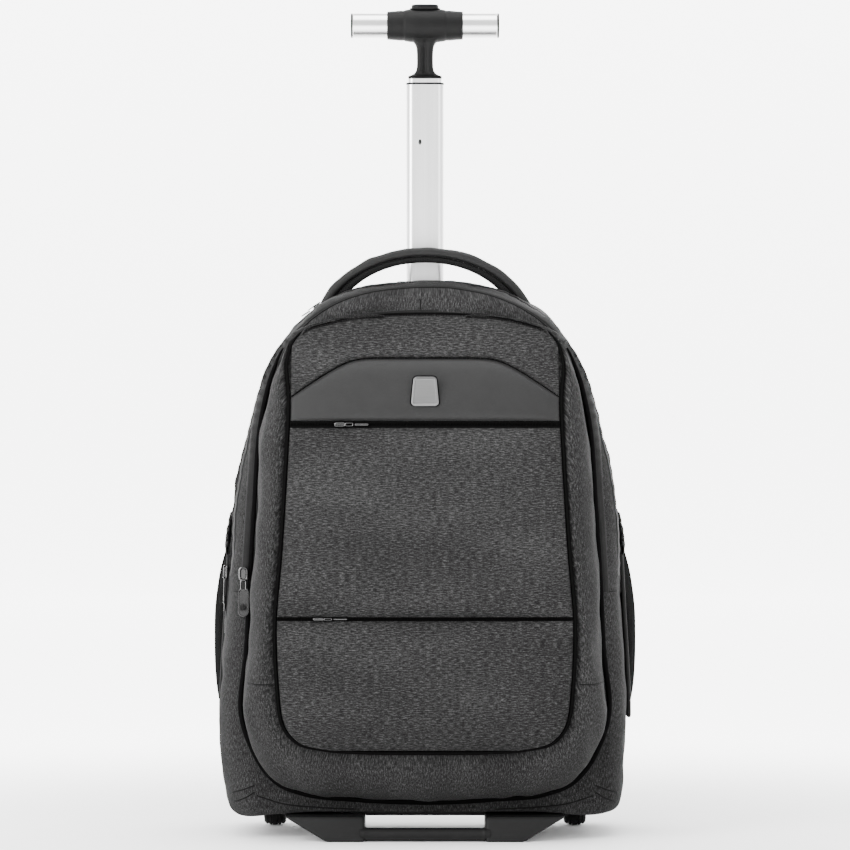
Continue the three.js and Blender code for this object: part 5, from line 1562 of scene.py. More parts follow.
# %% The pocket's surface
pocket_swell = smooth_line([
    (0, -0.12), (0.06, 0.18), (0.14, 0.48), (0.26, 0.72), (0.42, 0.9), (0.6, 1), (0.78, 0.8),
    (0.91, 0.42), (1, 0.2),
])


def side_skin(y, z):
    """Half the bag's width at a depth and a height, and the inset of its rounded edges."""
    share = (y - bag_front) / bag_depth
    inset = np.interp(share, rising(bag_stations[:, 0]), bag_stations[:, 1]) * edge_round
    return bag_half_width(z) - inset


def pocket_spots(v, c, out=0.0):
    """v goes up from the foot to the slanting mouth, c goes from the front to the back."""
    z = bag_lift + 83 + v * (178 - 34 * (1 - c))
    y = bag_front + 30 + c * 76
    bulge = 11.5 * np.interp(v, rising(pocket_swell[:, 0]), pocket_swell[:, 1])
    bulge = bulge * np.sin(np.pi * np.clip(c, 0, 1)) ** 0.55
    gather = 0.5 * np.sin(c * 46 + 2 * np.sin(c * 9)) * np.clip((v - 0.7) / 0.3, 0, 1)
    x = side_skin(y, z) + 0.6 + np.maximum(bulge, -0.5) + out + gather
    return np.stack([x, y, z], axis=-1)


# %% Two families of strands
def strand_part(v, c, radius=0.55):
    """A four-sided strand through places on the pocket's surface."""
    line = pocket_spots(v, c)
    return cord_part(line, radius, 4)


strands = []
pitch = 0.055
for lean_way in (1, -1):
    for start_at in np.arange(-0.42, 1.0, pitch * 0.28):
        v_line = start_at + np.linspace(0, 0.42, 40)
        c_line = np.linspace(0, 1, 40) if lean_way > 0 else np.linspace(1, 0, 40)
        inside = (v_line >= 0) & (v_line <= 1)
        if inside.sum() > 3:
            strands.append(strand_part(v_line[inside], c_line[inside]))
net = joined(*strands)
print("strands in a pocket:", len(strands))
v, c = np.meshgrid(np.linspace(0, 1, 60), np.linspace(0, 1, 40), indexing="ij")
# A near-black sheet 0.9 mm inside the net stands for the pocket's shaded inside: painted shade seen between
# the strands.
painted_shade_sheet = pocket_spots(v, c, -0.9)
painted_shade_sheet_part = patch(painted_shade_sheet, (0, 40, 190), np.stack([c * 76, v * 170], axis=-1))
make_piece("pocket_painted_shade_right", painted_shade_sheet_part, black_tape_and_painted_shadow)
make_piece("pocket_painted_shade_left", mirrored(painted_shade_sheet_part), black_tape_and_painted_shadow)
make_piece("side_net_right", net, net_yarn, instead_of=["side_pocket_right"], sharp=80)
make_piece("side_net_left", mirrored(net), net_yarn, instead_of=["side_pocket_left"], sharp=80)

# %% The gathered hem, and the trim round the net
c = np.linspace(0, 1, 170)[None, :]
turn = np.linspace(0, 2 * np.pi, 17)[:, None]
gathers = np.sin(c * 76 / 5.2 * 2 * np.pi + 1.6 * np.sin(c * 17)) * 0.75
hem = pocket_spots(np.ones_like(c * turn), c * np.ones_like(turn))
hem[..., 0] += 1.3 + (1.5 + 0.35 * gathers) * np.cos(turn)
hem[..., 2] += 4.6 + (4.6 + 0.7 * gathers) * np.sin(turn)
hem_uv = np.stack(np.broadcast_arrays(c * 76, turn * 3), axis=-1)
hem_part = patch(hem, hem.mean(axis=(0, 1)), hem_uv)
v = np.linspace(0, 1, 90)
trims = []
for side in (0.0, 1.0):
    line = pocket_spots(v, np.full_like(v, side), 0.7)
    trims.append(cord_part(line, 1.9, 10))
c_line = np.linspace(0, 1, 60)
trims.append(cord_part(pocket_spots(np.zeros(60), c_line, 0.7), 1.9, 10))
trim_part = joined(*trims)
make_piece("hem_right", hem_part, hem_cloth, instead_of=["pocket_hem_right"])
make_piece("hem_left", mirrored(hem_part), hem_cloth, instead_of=["pocket_hem_left"])
make_piece("pocket_trim_right", trim_part, trim_cloth)
make_piece("pocket_trim_left", mirrored(trim_part), trim_cloth)

# %% [markdown]
# ## The carry handle
# A half ellipse of webbing, wrapped in smooth cloth above and mesh below. The cover's section is
# a crowned strip whose edges turn down, and the mesh side is a narrower pad under it.

# %% The handle's path and sections
handle_turn = np.linspace(0, np.pi, 150)
handle_path = np.stack(
    [100 * np.cos(handle_turn), np.full(150, 24.39), 450 + 75.5 * np.sin(handle_turn)], axis=1
)
handle_out = unit(np.stack([np.cos(handle_turn) * 75.5, np.zeros(150), np.sin(handle_turn) * 100], axis=1))
handle_side = np.tile((0.0, 1.0, 0.0), (150, 1))


def swept(path, side, out, section, shut_ends=True):
    """A closed section carried along a path: across by side, away by out."""
    rings = path[:, None] + section[..., :1] * side[:, None] + section[..., 1:2] * out[:, None]
    length = run_along(path)
    girth = run_along(section[0] if section.ndim == 3 else section)
    uv = np.stack(np.meshgrid(girth, length), axis=-1)[..., ::-1]
    part = patch(rings, uv=uv)
    corners = part["spots"][part["faces"]]
    beside = (path[:-1] + path[1:]) / 2 + out[:-1] * section[..., 1].mean()
    centre = np.repeat(beside, rings.shape[1] - 1, axis=0)
    if np.sum(quad_normals(corners) * (corners.mean(axis=1) - centre)) < 0:
        part["faces"] = part["faces"][:, ::-1]
    if not shut_ends:
        return part
    ends = [
        stack_cap(rings[0], rings[0][:-1].mean(axis=0), rings[1].mean(axis=0)),
        stack_cap(rings[-1], rings[-1][:-1].mean(axis=0), rings[-2].mean(axis=0)),
    ]
    return joined(part, *ends)


cover_section = rounded_rect(30, 7.6, 3.2, steps=7) + (0, -3.8)
crown = 1.3 * np.clip(1 - (cover_section[:, 0] / 15) ** 2, 0, 1)
cover_section[:, 1] += np.where(cover_section[:, 1] > -3.8, crown, 0)
cover_rings = np.repeat(cover_section[None], 150, axis=0)
wrinkle = slow_waves(handle_path[:, None] + cover_rings[..., :1] * handle_side[:, None], 22, 81)
cover_rings[..., 1] += 0.28 * wrinkle * (cover_rings[..., 1] > -3.8)
pad_section = rounded_rect(25, 4.6, 2.1, steps=5)
pad_rings = np.repeat(pad_section[None], 150, axis=0)
foot_share = np.abs(np.cos(handle_turn))[:, None] ** 3
pad_rings[..., 1] = (pad_rings[..., 1] - 2.3) * (1 + 0.9 * foot_share) - 7.7
handle_cover = make_piece(
    "handle_cover_cloth", swept(handle_path, handle_side, handle_out, cover_rings), handle_leather,
    instead_of=["handle_cover"],
)
handle_pad = make_piece(
    "handle_mesh_pad", swept(handle_path, handle_side, handle_out, pad_rings),
    strap_mesh, instead_of=["handle_underside"],
)
handle_rows = []
for off in (-14.4, 14.4):
    line = handle_path + handle_side * off + handle_out * -5.4
    handle_rows.append(stitch_part(line, handle_side * np.sign(off), 3.2, 2.2, 0.6, 0.35))
make_piece("handle_stitches", joined(*handle_rows), thread_cloth)

# %% [markdown]
# ## Back pad and shoulder straps
# The back isn't in the photograph. Bags of this kind have a padded mesh back with an air channel
# down its middle, and two straps that hang from its top and are held by ladder buckles and
# webbing. The pad is a sheet of shrunk outlines, thick in its cushions and thin in its channels.

# %% The back pad
pad_ring = np.stack(
    [
        bag_loop[:, 0] * (bag_width / 2 - 21),
        np.full(len(bag_loop), bag_back),
        bag_lift + 74 + bag_loop[:, 1] * (bag_height - 74 - 21),
    ],
    axis=1,
)
pad_shares = np.concatenate([[1.0, 1.0, 0.995, 0.985, 0.97], np.linspace(0.96, 0.0, 70)])
pad = shrunk(pad_ring, pad_shares, 285.0)
x, z = pad[..., 0], pad[..., 2]
rim = (1 - pad_shares)[:, None] * 150
edge_up = np.sqrt(np.clip(1 - (1 - np.clip(rim / 7, 0, 1)) ** 2, 0, 1))
edge_up[1:2] = 0.3
cross_channels = sum(np.exp(-(((z - h - 0.12 * np.abs(x)) / 6) ** 2)) for h in (190, 285, 375))
channels = np.exp(-((x / 9) ** 2)) + 0.85 * cross_channels
cushion = 1 - np.clip(channels, 0, 1)
quilts = 0.5 + 0.5 * np.cos(z / 11 * 2 * np.pi) * (np.abs(x) > 12)
pad[..., 1] = bag_back + 0.3 + edge_up * (1.6 + 5.2 * cushion + 0.25 * cushion * quilts)
pad[0, :, 1] = bag_back - 1
pad_thing = make_piece(
    "back_pad_mesh", patch(pad, (0, 0, 285), np.stack([x, z], axis=-1)), back_mesh,
    instead_of=["back_pad"],
)
print("pad depth:", round(float(pad[..., 1].max() - bag_back), 1), "mm")


# %% Where a strap runs
pad_back = 99.19


def strap_place(share):
    """The strap leaves the pad's top near the spine, arches off it, and comes back below."""
    out = 48 + (94 - 48) * share**1.5
    up = bag_height - 49 + (196 - (bag_height - 49)) * share
    off = 9.5 * np.sin(np.pi * np.clip(share, 0, 1)) ** 0.8
    return np.stack([out, pad_back + np.maximum(0.3, off) + 5, bag_lift + up], axis=-1)


strap_share = np.linspace(0, 1, 130)
strap_path = strap_place(strap_share)
strap_way = unit(np.gradient(strap_path, axis=0))
strap_side = unit(np.stack([-strap_way[:, 2], np.zeros(130), strap_way[:, 0]], axis=1))
strap_out = unit(np.cross(strap_way, strap_side))
strap_out *= np.sign(strap_out[:, 1:2])
strap_size = 1 - 0.2 * strap_share
strap_section = rounded_rect(58, 10, 4.6, steps=8)
strap_rings = np.repeat(strap_section[None], 130, axis=0)
strap_rings[..., 0] *= strap_size[:, None]
strap_face = np.sign(strap_rings[..., 1])
strap_rings[..., 1] += 0.9 * (1 - (strap_rings[..., 0] / 29) ** 2) * strap_face - 0.45 * strap_face
from_seam = np.abs(strap_rings[..., 0]) - 23 * strap_size[:, None]
strap_rings[..., 1] -= 0.8 * np.exp(-((from_seam / 1.6) ** 2)) * np.sign(strap_rings[..., 1])
strap_part = swept(strap_path, strap_side, strap_out, strap_rings)
strap_seams = []
for off in (-23, 23):
    line = strap_path + strap_side * (off * strap_size)[:, None] + strap_out * 4.5
    strap_seams.append(stitch_part(line[4:-4], strap_out[4:-4], 3.2, 2.2, 0.6, 0.1))
for side, turn_over in (("right", lambda p: p), ("left", mirrored)):
    strap = make_piece(
        f"shoulder_strap_{side}_cloth", turn_over(strap_part), strap_cloth,
        instead_of=[f"shoulder_strap_{side}"],
    )
    make_piece(f"strap_stitches_{side}", turn_over(joined(*strap_seams)), thread_cloth)

# %% [markdown]
# ## Buckles and webbing
# A ladder buckle is a frame with two cross bars. The strap's end is sewn round one bar, and the
# webbing passes over the other and down to its anchor. The frame is a rounded section carried
# round a rounded rectangle.

# %% The ladder buckle
seam_gap = 0.3
buckle_tall = 27
webbing_width, webbing_thick = 25, 1.8
start_spot = strap_place(np.array([1.0]))[0]
anchor = np.array([bag_width / 2 - 42, bag_back + seam_gap + webbing_thick / 2, bag_lift + 48])
down = unit((anchor - start_spot) * (1, 0, 1))
across_way = np.array([-down[2], 0.0, down[0]])
buckle_middle = start_spot + down * (seam_gap + buckle_tall / 2)
buckle_middle[1] = pad_back + seam_gap + 3
frame_loop = placed(rounded_rect(33 - 4.4, buckle_tall - 4.4, 3.4), buckle_middle, across_way, down)
frame_out = np.tile((0.0, 1.0, 0.0), (len(frame_loop), 1))
frame_way = np.gradient(frame_loop, axis=0)
frame_way[0] = frame_way[-1] = frame_loop[1] - frame_loop[-2]
frame_side = unit(np.cross(unit(frame_way), frame_out))
bar_section = rounded_rect(4.4, 6, 1.5, steps=5)
ladder = [swept(frame_loop, frame_side, frame_out, bar_section, shut_ends=False)]
for shift in (-0.2, 7.4, -8.2):
    bar = [buckle_middle + across_way * s * 14.6 + down * shift for s in np.linspace(-1, 1, 12)]
    ladder.append(cord_part(bar, 1.9 if shift == -0.2 else 1.3, 10))
buckle_part = joined(*ladder)

# %% The webbing
first = buckle_middle + down * (buckle_tall / 2 + seam_gap)
reach = np.linalg.norm((anchor - first) * (1, 0, 1))
leave = (first[2] - bag_lift - 74) / (first[2] - anchor[2])
share = np.linspace(-0.06, 1, 110)
settle = np.clip((share - leave) / (1 - leave), 0, 1)
settle = settle**2 * (3 - 2 * settle)
web_path = first + down * (share * reach)[:, None]
web_path[:, 1] = (pad_back + seam_gap + webbing_thick) * (1 - settle) + anchor[1] * settle
web_side = np.tile(across_way, (110, 1))
web_out = unit(np.cross(unit(np.gradient(web_path, axis=0)), web_side))
web_out *= np.sign(web_out[:, 1:2])
web_part = swept(web_path, web_side, web_out, rounded_rect(webbing_width, webbing_thick, 0.8, steps=4))
box_tack = []
for off in (-9, -3, 3, 9):
    line = web_path[-14:-2] + web_side[-14:-2] * off + web_out[-14:-2] * (webbing_thick / 2)
    box_tack.append(stitch_part(line, web_out[-14:-2], 2.6, 1.9, 0.6, 0.1))
for side, turn_over in (("right", lambda p: p), ("left", mirrored)):
    make_piece(
        f"ladder_buckle_{side}", turn_over(buckle_part), buckle_plastic,
        instead_of=[f"strap_buckle_{side}"],
    )
    make_piece(
        f"webbing_{side}", turn_over(web_part), webbing_cloth,
        instead_of=[f"strap_webbing_{side}"],
    )
    make_piece(f"webbing_tack_{side}", turn_over(joined(*box_tack)), thread_cloth)

# %% [markdown]
# ## The telescopic pole
# Two rounded rectangular tubes slide in one another, and a black bushing closes the lower one.
# A tube is one grid: up its outside, over its rounded rim and down its inside. The catch pin
# that locks the stages shows as a small oval on the front.

# %% Tubes with rims
def pole_loop(width, depth, radius, inset, z):
    """A rounded rectangle round the pole's axis, at a height."""
    return level_ring(rounded_rect(width, depth, radius, inset, steps=10), z)


def tube_part(width, depth, radius, wall, low, high):
    """A grid that runs up the outside, over the rim and down the inside, closed at its foot."""
    soft = min(0.35, wall / 3)
    middle_z = (low + high) / 2
    steps = [
        (soft, low), (0, low + soft), (0, middle_z), (0, high - soft), (soft, high), (wall - soft, high),
        (wall, high - soft), (wall, middle_z), (wall, low + soft), (wall - soft, low), (soft, low),
    ]
    rings = [pole_loop(width, depth, radius, inset, z) for inset, z in steps]
    part = patch(np.stack(rings))
    first_ring = part["spots"].reshape(len(rings), -1, 3)
    corners = part["spots"][part["faces"][len(first_ring[0]) * 2]]
    if quad_normals(corners) @ (corners.mean(axis=0) - (0, pole_y, corners[:, 2].mean())) < 0:
        part["faces"] = part["faces"][:, ::-1]
    return part


lower_low, lower_high = node_box("lower_stage")
upper_low, upper_high = node_box("upper_stage")
sleeve_low, sleeve_high = node_box("pole_sleeve")
bushing_low, bushing_high = node_box("lower_stage_bushing")
make_piece(
    "lower_tube", tube_part(35, 18, 7, 1.5, lower_low[2], lower_high[2]), pole_metal,
    "lower_stage", ["lower_stage"], 30,
)
make_piece(
    "lower_bushing", tube_part(35, 18, 7, 1.7, bushing_low[2], bushing_high[2]), bezel_plastic,
    "lower_stage", ["lower_stage_bushing"], 30,
)
make_piece(
    "upper_tube", tube_part(31.2, 14.2, 5.1, 1.5, upper_low[2], upper_high[2]), pole_metal,
    "upper_stage", ["upper_stage"], 30,
)
pin_turn = np.linspace(0, 2 * np.pi, 33)
pin_rings = [
    np.stack([
        -4.6 + r * 1.5 * np.cos(pin_turn),
        np.full(33, pole_y - 9 - lift),
        625 + r * 2.6 * np.sin(pin_turn),
    ], axis=1)
    for r, lift in ((1.0, -0.4), (1.0, 0.1), (0.85, 0.22), (0.5, 0.3))
]
make_piece("catch_pin", stack(pin_rings), slider_metal, "lower_stage")

# %% Sleeve and bezel
make_piece(
    "pole_sleeve_tube", tube_part(40.6, 23.6, 8.5, 2.4, sleeve_low[2], sleeve_high[2]), bezel_plastic,
    instead_of=["pole_sleeve"], sharp=30,
)
bezel_low, bezel_high = node_box("pole_bezel")
bezel_steps = [
    (3.2, bezel_low[2]), (3, bezel_low[2] + 0.4), (3, bezel_high[2] - 3.4), (0.4, bezel_high[2] - 3.4),
    (0, bezel_high[2] - 3), (0, bezel_high[2] - 1.1), (0.4, bezel_high[2] - 0.4), (1.2, bezel_high[2]),
]
bezel_rings = [pole_loop(52, 28, 7, inset, z) for inset, z in bezel_steps]
inner_steps = [(0, bezel_high[2]), (-0.7, bezel_high[2] - 0.7), (-0.7, bezel_low[2] + 0.4)]
inner_rings = [pole_loop(36.6, 19.6, 7, inset + 1.1, z) for inset, z in inner_steps]
bezel_grid = np.stack(bezel_rings + inner_rings + [bezel_rings[0]])
bezel_part = patch(bezel_grid)
make_piece(
    "pole_collar", bezel_part, bezel_plastic,
    instead_of=["pole_bezel"], sharp=30,
)

# %% [markdown]
# ## The T-grip
# A black moulded barrel holds two bright tubes with thin caps. The barrel is turned: a profile
# spun about the cross axis. The stem is a pile of rounded rectangles that flares at both ends,
# with a groove down its front and back. The push button sits in a socket on top.


# %% Turned shapes and the barrel
def turned_x(profile, middle_spot, segments=72):
    """A profile of radius and distance along X, spun about the X axis."""
    profile = np.asarray(profile, float)
    turn = np.linspace(0, 2 * np.pi, segments + 1)
    ring_y = profile[:, :1] * np.cos(turn)
    ring_z = profile[:, :1] * np.sin(turn)
    ring_x = np.repeat(profile[:, 1:2], segments + 1, axis=1)
    return patch(np.stack([ring_x, ring_y, ring_z], axis=-1) + np.asarray(middle_spot, float))


cap_low, cap_high = node_box("grip_cap_right")
grip_axis = (cap_low[2] + cap_high[2]) / 2
grip_middle = (0, pole_y, grip_axis)
print("grip axis at", round(float(grip_axis), 1))
half = 34.75
barrel_line = smooth_line([
    (12.9, -half + 1.2), (13.3, -half * 0.8), (14.2, -half * 0.55), (15.0, -half * 0.4),
    (15.5, -half * 0.2), (15.5, 0), (15.5, half * 0.2), (15.0, half * 0.4), (14.2, half * 0.55),
    (13.3, half * 0.8), (12.9, half - 1.2),
], 6)
end_curve = [(11.55, -half + 14), (11.55, -half + 0.3), (11.8, -half), (12.3, -half), (12.75, -half + 0.45)]
other_end = [(r, -x) for r, x in end_curve[::-1]]
barrel_profile = np.vstack([[(0, -half + 14)], end_curve, barrel_line, other_end, [(0, half - 14)]])
ridge = 0.35 * (np.abs(np.abs(barrel_profile[:, 1]) - 20) < 1.2)
barrel_profile[:, 0] -= ridge
grip_barrel = make_piece(
    "grip_barrel", turned_x(barrel_profile, grip_middle, 96), grip_plastic,
    "upper_stage", sharp=32,
)
button_low, button_high = node_box("grip_button")
well = stack([
    level_ring(rounded_rect(25.5, 15.5, 7.6), h) for h in (button_low[2] - 3.3, grip_axis + 22)
])
print("barrel faces with the button's well:", cut_away(grip_barrel, well))

# %% Stem, flange and plug
flange_foot = upper_high[2] + 0.3
stem_top = flange_foot + 2 + 32
heights = np.concatenate([
    np.linspace(flange_foot + 2, flange_foot + 8, 12), np.linspace(flange_foot + 9, stem_top - 9, 8),
    np.linspace(stem_top - 8, stem_top + 5, 14),
])
foot_flare = 7.6 * np.exp(-((heights - flange_foot - 2) / 2.3))
head_flare = 7.0 * np.exp(-((stem_top + 1.5 - heights) / 3.0).clip(0, None))


def dense_rect(width, depth, radius, inset=0.0, each=9):
    """A rounded rectangle with points along its straight sides too."""
    return even_steps(rounded_rect(width, depth, radius, inset), 4 * each * 3 + 1)


stem_rings = []
for h, flare in zip(heights, foot_flare + head_flare):
    ring = dense_rect(14.7 + 2 * flare, 12 + 0.9 * flare, 3.6 + 0.3 * flare)
    groove = 1.7 * np.exp(-((ring[:, 0] / 1.9) ** 2)) * np.exp(-((flare / 5) ** 2))
    ring[:, 1] -= groove * np.sign(ring[:, 1])
    stem_rings.append(level_ring(ring, h))
stem = stack(stem_rings)
flange_steps = [(0.6, 0), (0.15, 0.15), (0, 0.5), (0, 1.4), (0.2, 1.8), (0.8, 2.0)]
flange = stack([
    level_ring(rounded_rect(31, 15, 5, inset), flange_foot + up) for inset, up in flange_steps
])
plug = stack([
    level_ring(rounded_rect(27.6, 10.6, 3.4, inset), h)
    for inset, h in ((0.8, upper_high[2] - 12), (0, upper_high[2] - 11), (0, flange_foot + 0.4))
])
socket_rim = [(0.1, -1.4), (0.05, 0.1), (-0.2, 0.7), (-0.6, 0.9), (-1.1, 0.6), (-1.5, -0.6)]
rim_rings = [
    level_ring(rounded_rect(25.6, 15.6, 7.7, inset), grip_axis + 15.2 + up) for inset, up in socket_rim
]
rim_part = patch(np.stack(rim_rings + rim_rings[:1]))
make_piece(
    "grip_moulding", joined(stem, flange, plug, rim_part), grip_plastic,
    "upper_stage", ["grip_body"], 32,
)

# %% Tubes, caps and button
for sign, side in ((1, "right"), (-1, "left")):
    tube_low, tube_high = node_box(f"grip_tube_{side}")
    near, far = (tube_low[0], tube_high[0]) if sign > 0 else (tube_high[0], tube_low[0])
    tube_profile = [
        (9.65, near), (11.0, near), (11.25, near + sign * 0.3), (11.25, far - sign * 0.4), (11.0, far),
        (9.9, far), (9.65, far - sign * 0.3), (9.65, near),
    ]
    make_piece(
        f"bright_tube_{side}", turned_x(tube_profile, grip_middle, 80), tube_metal,
        "upper_stage", [f"grip_tube_{side}"], 30,
    )
    end_low, end_high = node_box(f"grip_cap_{side}")
    near, far = (end_low[0], end_high[0]) if sign > 0 else (end_high[0], end_low[0])
    seat = far - sign * 1.6
    cap_profile = [
        (0.01, near), (9.0, near), (9.3, near + sign * 0.4), (9.3, seat), (11.0, seat),
        (11.25, seat + sign * 0.25), (11.25, far - sign * 0.7), (10.9, far - sign * 0.15), (10.2, far),
        (8.6, far), (8.3, far - sign * 0.35), (4.0, far - sign * 0.4), (0.01, far - sign * 0.35),
    ]
    make_piece(
        f"end_cap_{side}", turned_x(cap_profile, grip_middle, 80), bezel_plastic,
        "upper_stage", [f"grip_cap_{side}"], 30,
    )
button_top = button_high[2]
button_steps = [
    (0.4, button_low[2] + 0.2), (0.1, button_low[2] + 0.6), (0.1, button_top - 1.1),
    (0.3, button_top - 0.5), (0.8, button_top - 0.12), (1.7, button_top), (2.2, button_top - 0.25),
    (4.5, button_top - 0.5), (6.6, button_top - 0.6),
]
button_rings = [level_ring(rounded_rect(25, 15, 7.4, inset), h) for inset, h in button_steps]
make_piece(
    "push_button", stack(button_rings), bezel_plastic, "button", ["grip_button"], 30,
)

# %% [markdown]
# ## The base
# The feet are moulded blocks that widen towards their tops, joined by a round bar with a gap
# behind it. Each is a pile of rounded rectangles whose width grows with height. The tray and its
# wheel housings keep their solid shape: they are plain walls, and only need their finish.

# %% Feet and bar
def foot_rings(sign):
    """Rounded rectangles from the ground to the tray, the outer side leaning out, the toe back."""
    rings = []
    top = 21.7
    steps = [
        (1.9, 0.0), (0.9, 0.15), (0.25, 0.7), (0, 1.6), (0, 6), (0, 12), (0, 19.4), (0.3, 20.8),
        (1.2, top),
    ]
    for inset, h in steps:
        share = h / top
        x0, x1 = 53 + inset, 53 + 34 + (71 - 34) * share - inset
        y0, y1 = -80.0 + 6 * share + inset, -18.0 - inset
        ring = rounded_rect(x1 - x0, y1 - y0, 3.0, steps=6)
        ring[:, 0] = sign * (ring[:, 0] + (x0 + x1) / 2)
        rings.append(np.column_stack([ring[:, 0], ring[:, 1] + (y0 + y1) / 2, np.full(len(ring), h)]))
    return rings


bar_profile = [(0.01, -57), (5.8, -57), (5.8, 57), (0.01, 57)]
bar_middle = (0, -80.0 + 5.8 + 0.6, 0.6 + 5.8)
fillets = []
for sign in (-1, 1):
    spread = np.linspace(0, 1, 9)
    flare = [(5.8 + 0.55 * (1 - s) ** 2.2, sign * (52.5 - 3.4 * s)) for s in spread]
    fillets.append(turned_x(flare, bar_middle, 40))
foot_parts = [stack(foot_rings(1)), stack(foot_rings(-1)), turned_x(bar_profile, bar_middle, 40), *fillets]
make_piece(
    "feet_and_bar", joined(*foot_parts), base_plastic,
    instead_of=["front_feet"], sharp=35,
)
for tray_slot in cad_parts["base_tray"].material_slots:
    tray_slot.material = base_plastic
print("base pieces: feet, bar, tray")

# %% [markdown]
# ## Wheels
# A tyre is a turned ring with four grooves in its tread. The hub carries a thin web with five
# raised spokes, and the axle's round head shows in the middle.

# %% Tyres, hubs and axles
def spoked(part, middle_spot, hub_radius):
    """A disc's faces pushed out where a spoke runs: the push follows the angle."""
    spots = part["spots"]
    y, z = spots[:, 1] - middle_spot[1], spots[:, 2] - middle_spot[2]
    angle = np.arctan2(z, y)
    distance = np.hypot(y, z)
    spoke = np.clip((np.cos(angle * 5) - 0.2) / 0.5, 0, 1)
    band = np.clip((distance - 7.6) / 1.0, 0, 1) * np.clip((hub_radius - 3.2 - distance) / 1.0, 0, 1)
    side = np.sign(spots[:, 0] - middle_spot[0])
    spots[:, 0] += side * 1.9 * spoke * band
    return part


for sign, side in ((1, "right"), (-1, "left")):
    centre = np.array([sign * 137.0, wheel_y, wheel_radius])
    tread = np.linspace(-8.0, 8.0, 41)
    grooved = (np.abs(np.abs(tread) - 2.6) < 0.55) | (np.abs(np.abs(tread) - 6.0) < 0.45)
    crown_radius = wheel_radius - 1.5 * np.abs(tread / 8.4) ** 4 - 0.9 * grooved
    tyre_profile = np.vstack([
        [(19.1, -9), (22, -9.7), (25, -10), (27.2, -9.7), (28.3, -8.8)],
        np.stack([crown_radius, tread], axis=1),
        [(28.3, 8.8), (27.2, 9.7), (25, 10), (22, 9.7), (19.1, 9), (19.1, -9)],
    ])
    make_piece(
        f"wheel_tyre_{side}", turned_x(tyre_profile, centre, 96), tyre_rubber,
        f"wheel_{side}", [f"tyre_{side}"], 30,
    )
    disc = np.linspace(7.6, 15.8, 16)
    hub_profile = np.vstack([
        [(3.3, -11), (6.4, -11), (7.0, -10.6), (7.0, -7)],
        np.stack([disc, np.full(16, -6.6)], axis=1),
        [(16.4, -7.2), (17.6, -8.6), (18.6, -9), (19, -8.7), (19, 8.7), (18.6, 9), (17.6, 8.6), (16.4, 7.2)],
        np.stack([disc[::-1], np.full(16, 6.6)], axis=1),
        [(7.0, 7), (7.0, 10.6), (6.4, 11), (3.3, 11), (3.3, -11)],
    ])
    hub = spoked(turned_x(hub_profile, centre, 120), centre, 19)
    make_piece(f"wheel_hub_{side}", hub, hub_plastic, f"wheel_{side}", [f"hub_{side}"], 30)
    pin_profile = [
        (0.01, -15.4), (2.2, -15.4), (2.8, -15.0), (3.0, -14.5),
        (3.0, 14.5), (2.8, 15.0), (2.2, 15.4), (0.01, 15.4),
    ]
    make_piece(
        f"axle_pin_{side}", turned_x(pin_profile, centre, 40), dark_metal,
        instead_of=[f"axle_{side}"], sharp=30,
    )

# %% [markdown]
# ## Zip sliders and pulls
# A slider is a small body with a bright open frame on top, and a link that carries the pull. The
# pull is a plate with a raised bright rim and a plain round hole. Its outline and its hole are
# two loops of as many points, so the whole plate is one closed band: out, over the rim, in to
# the hole and back behind. Each slider is built flat, then turned onto its zip.

# %% A plate with a rim and a hole
def stadium(width, top, foot, inset, count=72):
    """A strip with a round foot and small round top corners, drawn in by inset."""
    half_wide = width / 2 - inset
    turn = np.linspace(0, np.pi, count // 2)
    low = np.stack([half_wide * np.cos(turn), foot - width / 2 + half_wide * np.sin(turn)], axis=1)
    corner = 1.6
    turn = np.linspace(0, np.pi / 2, count // 8)
    left_x = -half_wide + corner - corner * np.cos(turn)
    left = np.stack([left_x, top + inset + corner - corner * np.sin(turn)], axis=1)
    right_x = half_wide - corner + corner * np.sin(turn)
    right = np.stack([right_x, top + inset + corner - corner * np.cos(turn)], axis=1)
    return even_steps(loop_2d(np.vstack([low, left, right])), count + 1)


def hole_loop(middle_down, radius, count=72):
    """A circle whose points start level with the strip's right side, going the same way round."""
    turn = np.linspace(0, 2 * np.pi, count + 1)
    return np.stack([radius * np.cos(turn), middle_down + radius * np.sin(turn)], axis=1)


def tab_part(width, top, foot, hole_at, hole_radius, thick):
    """The closed band from the back edge, over the rim, to the hole and back."""
    def matched(loop):
        """Points of a loop read off by their angle round the hole."""
        angle = np.unwrap(np.arctan2(loop[:, 1] - hole_at, loop[:, 0]))
        wanted = np.linspace(0, 2 * np.pi, 73)
        angle = angle - angle[0]
        grid = np.interp(wanted, rising(angle), np.arange(len(angle)))
        return read_line(loop, np.arange(len(loop)), grid)

    def outer(inset):
        loop = stadium(width, top, foot, inset, 288)
        start = np.argmin(np.abs(np.arctan2(loop[:-1, 1] - hole_at, loop[:-1, 0])))
        loop = np.vstack([loop[start:-1], loop[:start], loop[start : start + 1]])
        return matched(loop)

    rings = [
        (outer(0.3), 0), (outer(0), 0.3), (outer(0), thick - 0.3), (outer(0.3), thick), (outer(1.0), thick),
        (outer(1.25), thick - 0.35), (hole_loop(hole_at, hole_radius + 1.2), thick - 0.35),
        (hole_loop(hole_at, hole_radius + 0.95), thick), (hole_loop(hole_at, hole_radius + 0.3), thick),
        (hole_loop(hole_at, hole_radius), thick - 0.3), (hole_loop(hole_at, hole_radius), 0.3),
        (hole_loop(hole_at, hole_radius + 0.3), 0), (outer(0.3), 0),
    ]
    grid = np.stack([np.column_stack([loop, np.full(73, out)]) for loop, out in rings])
    part = patch(grid)
    first_face = part["spots"][part["faces"][72 * 4]]
    if quad_normals(first_face)[2] < 0:
        part["faces"] = part["faces"][:, ::-1]
    return part


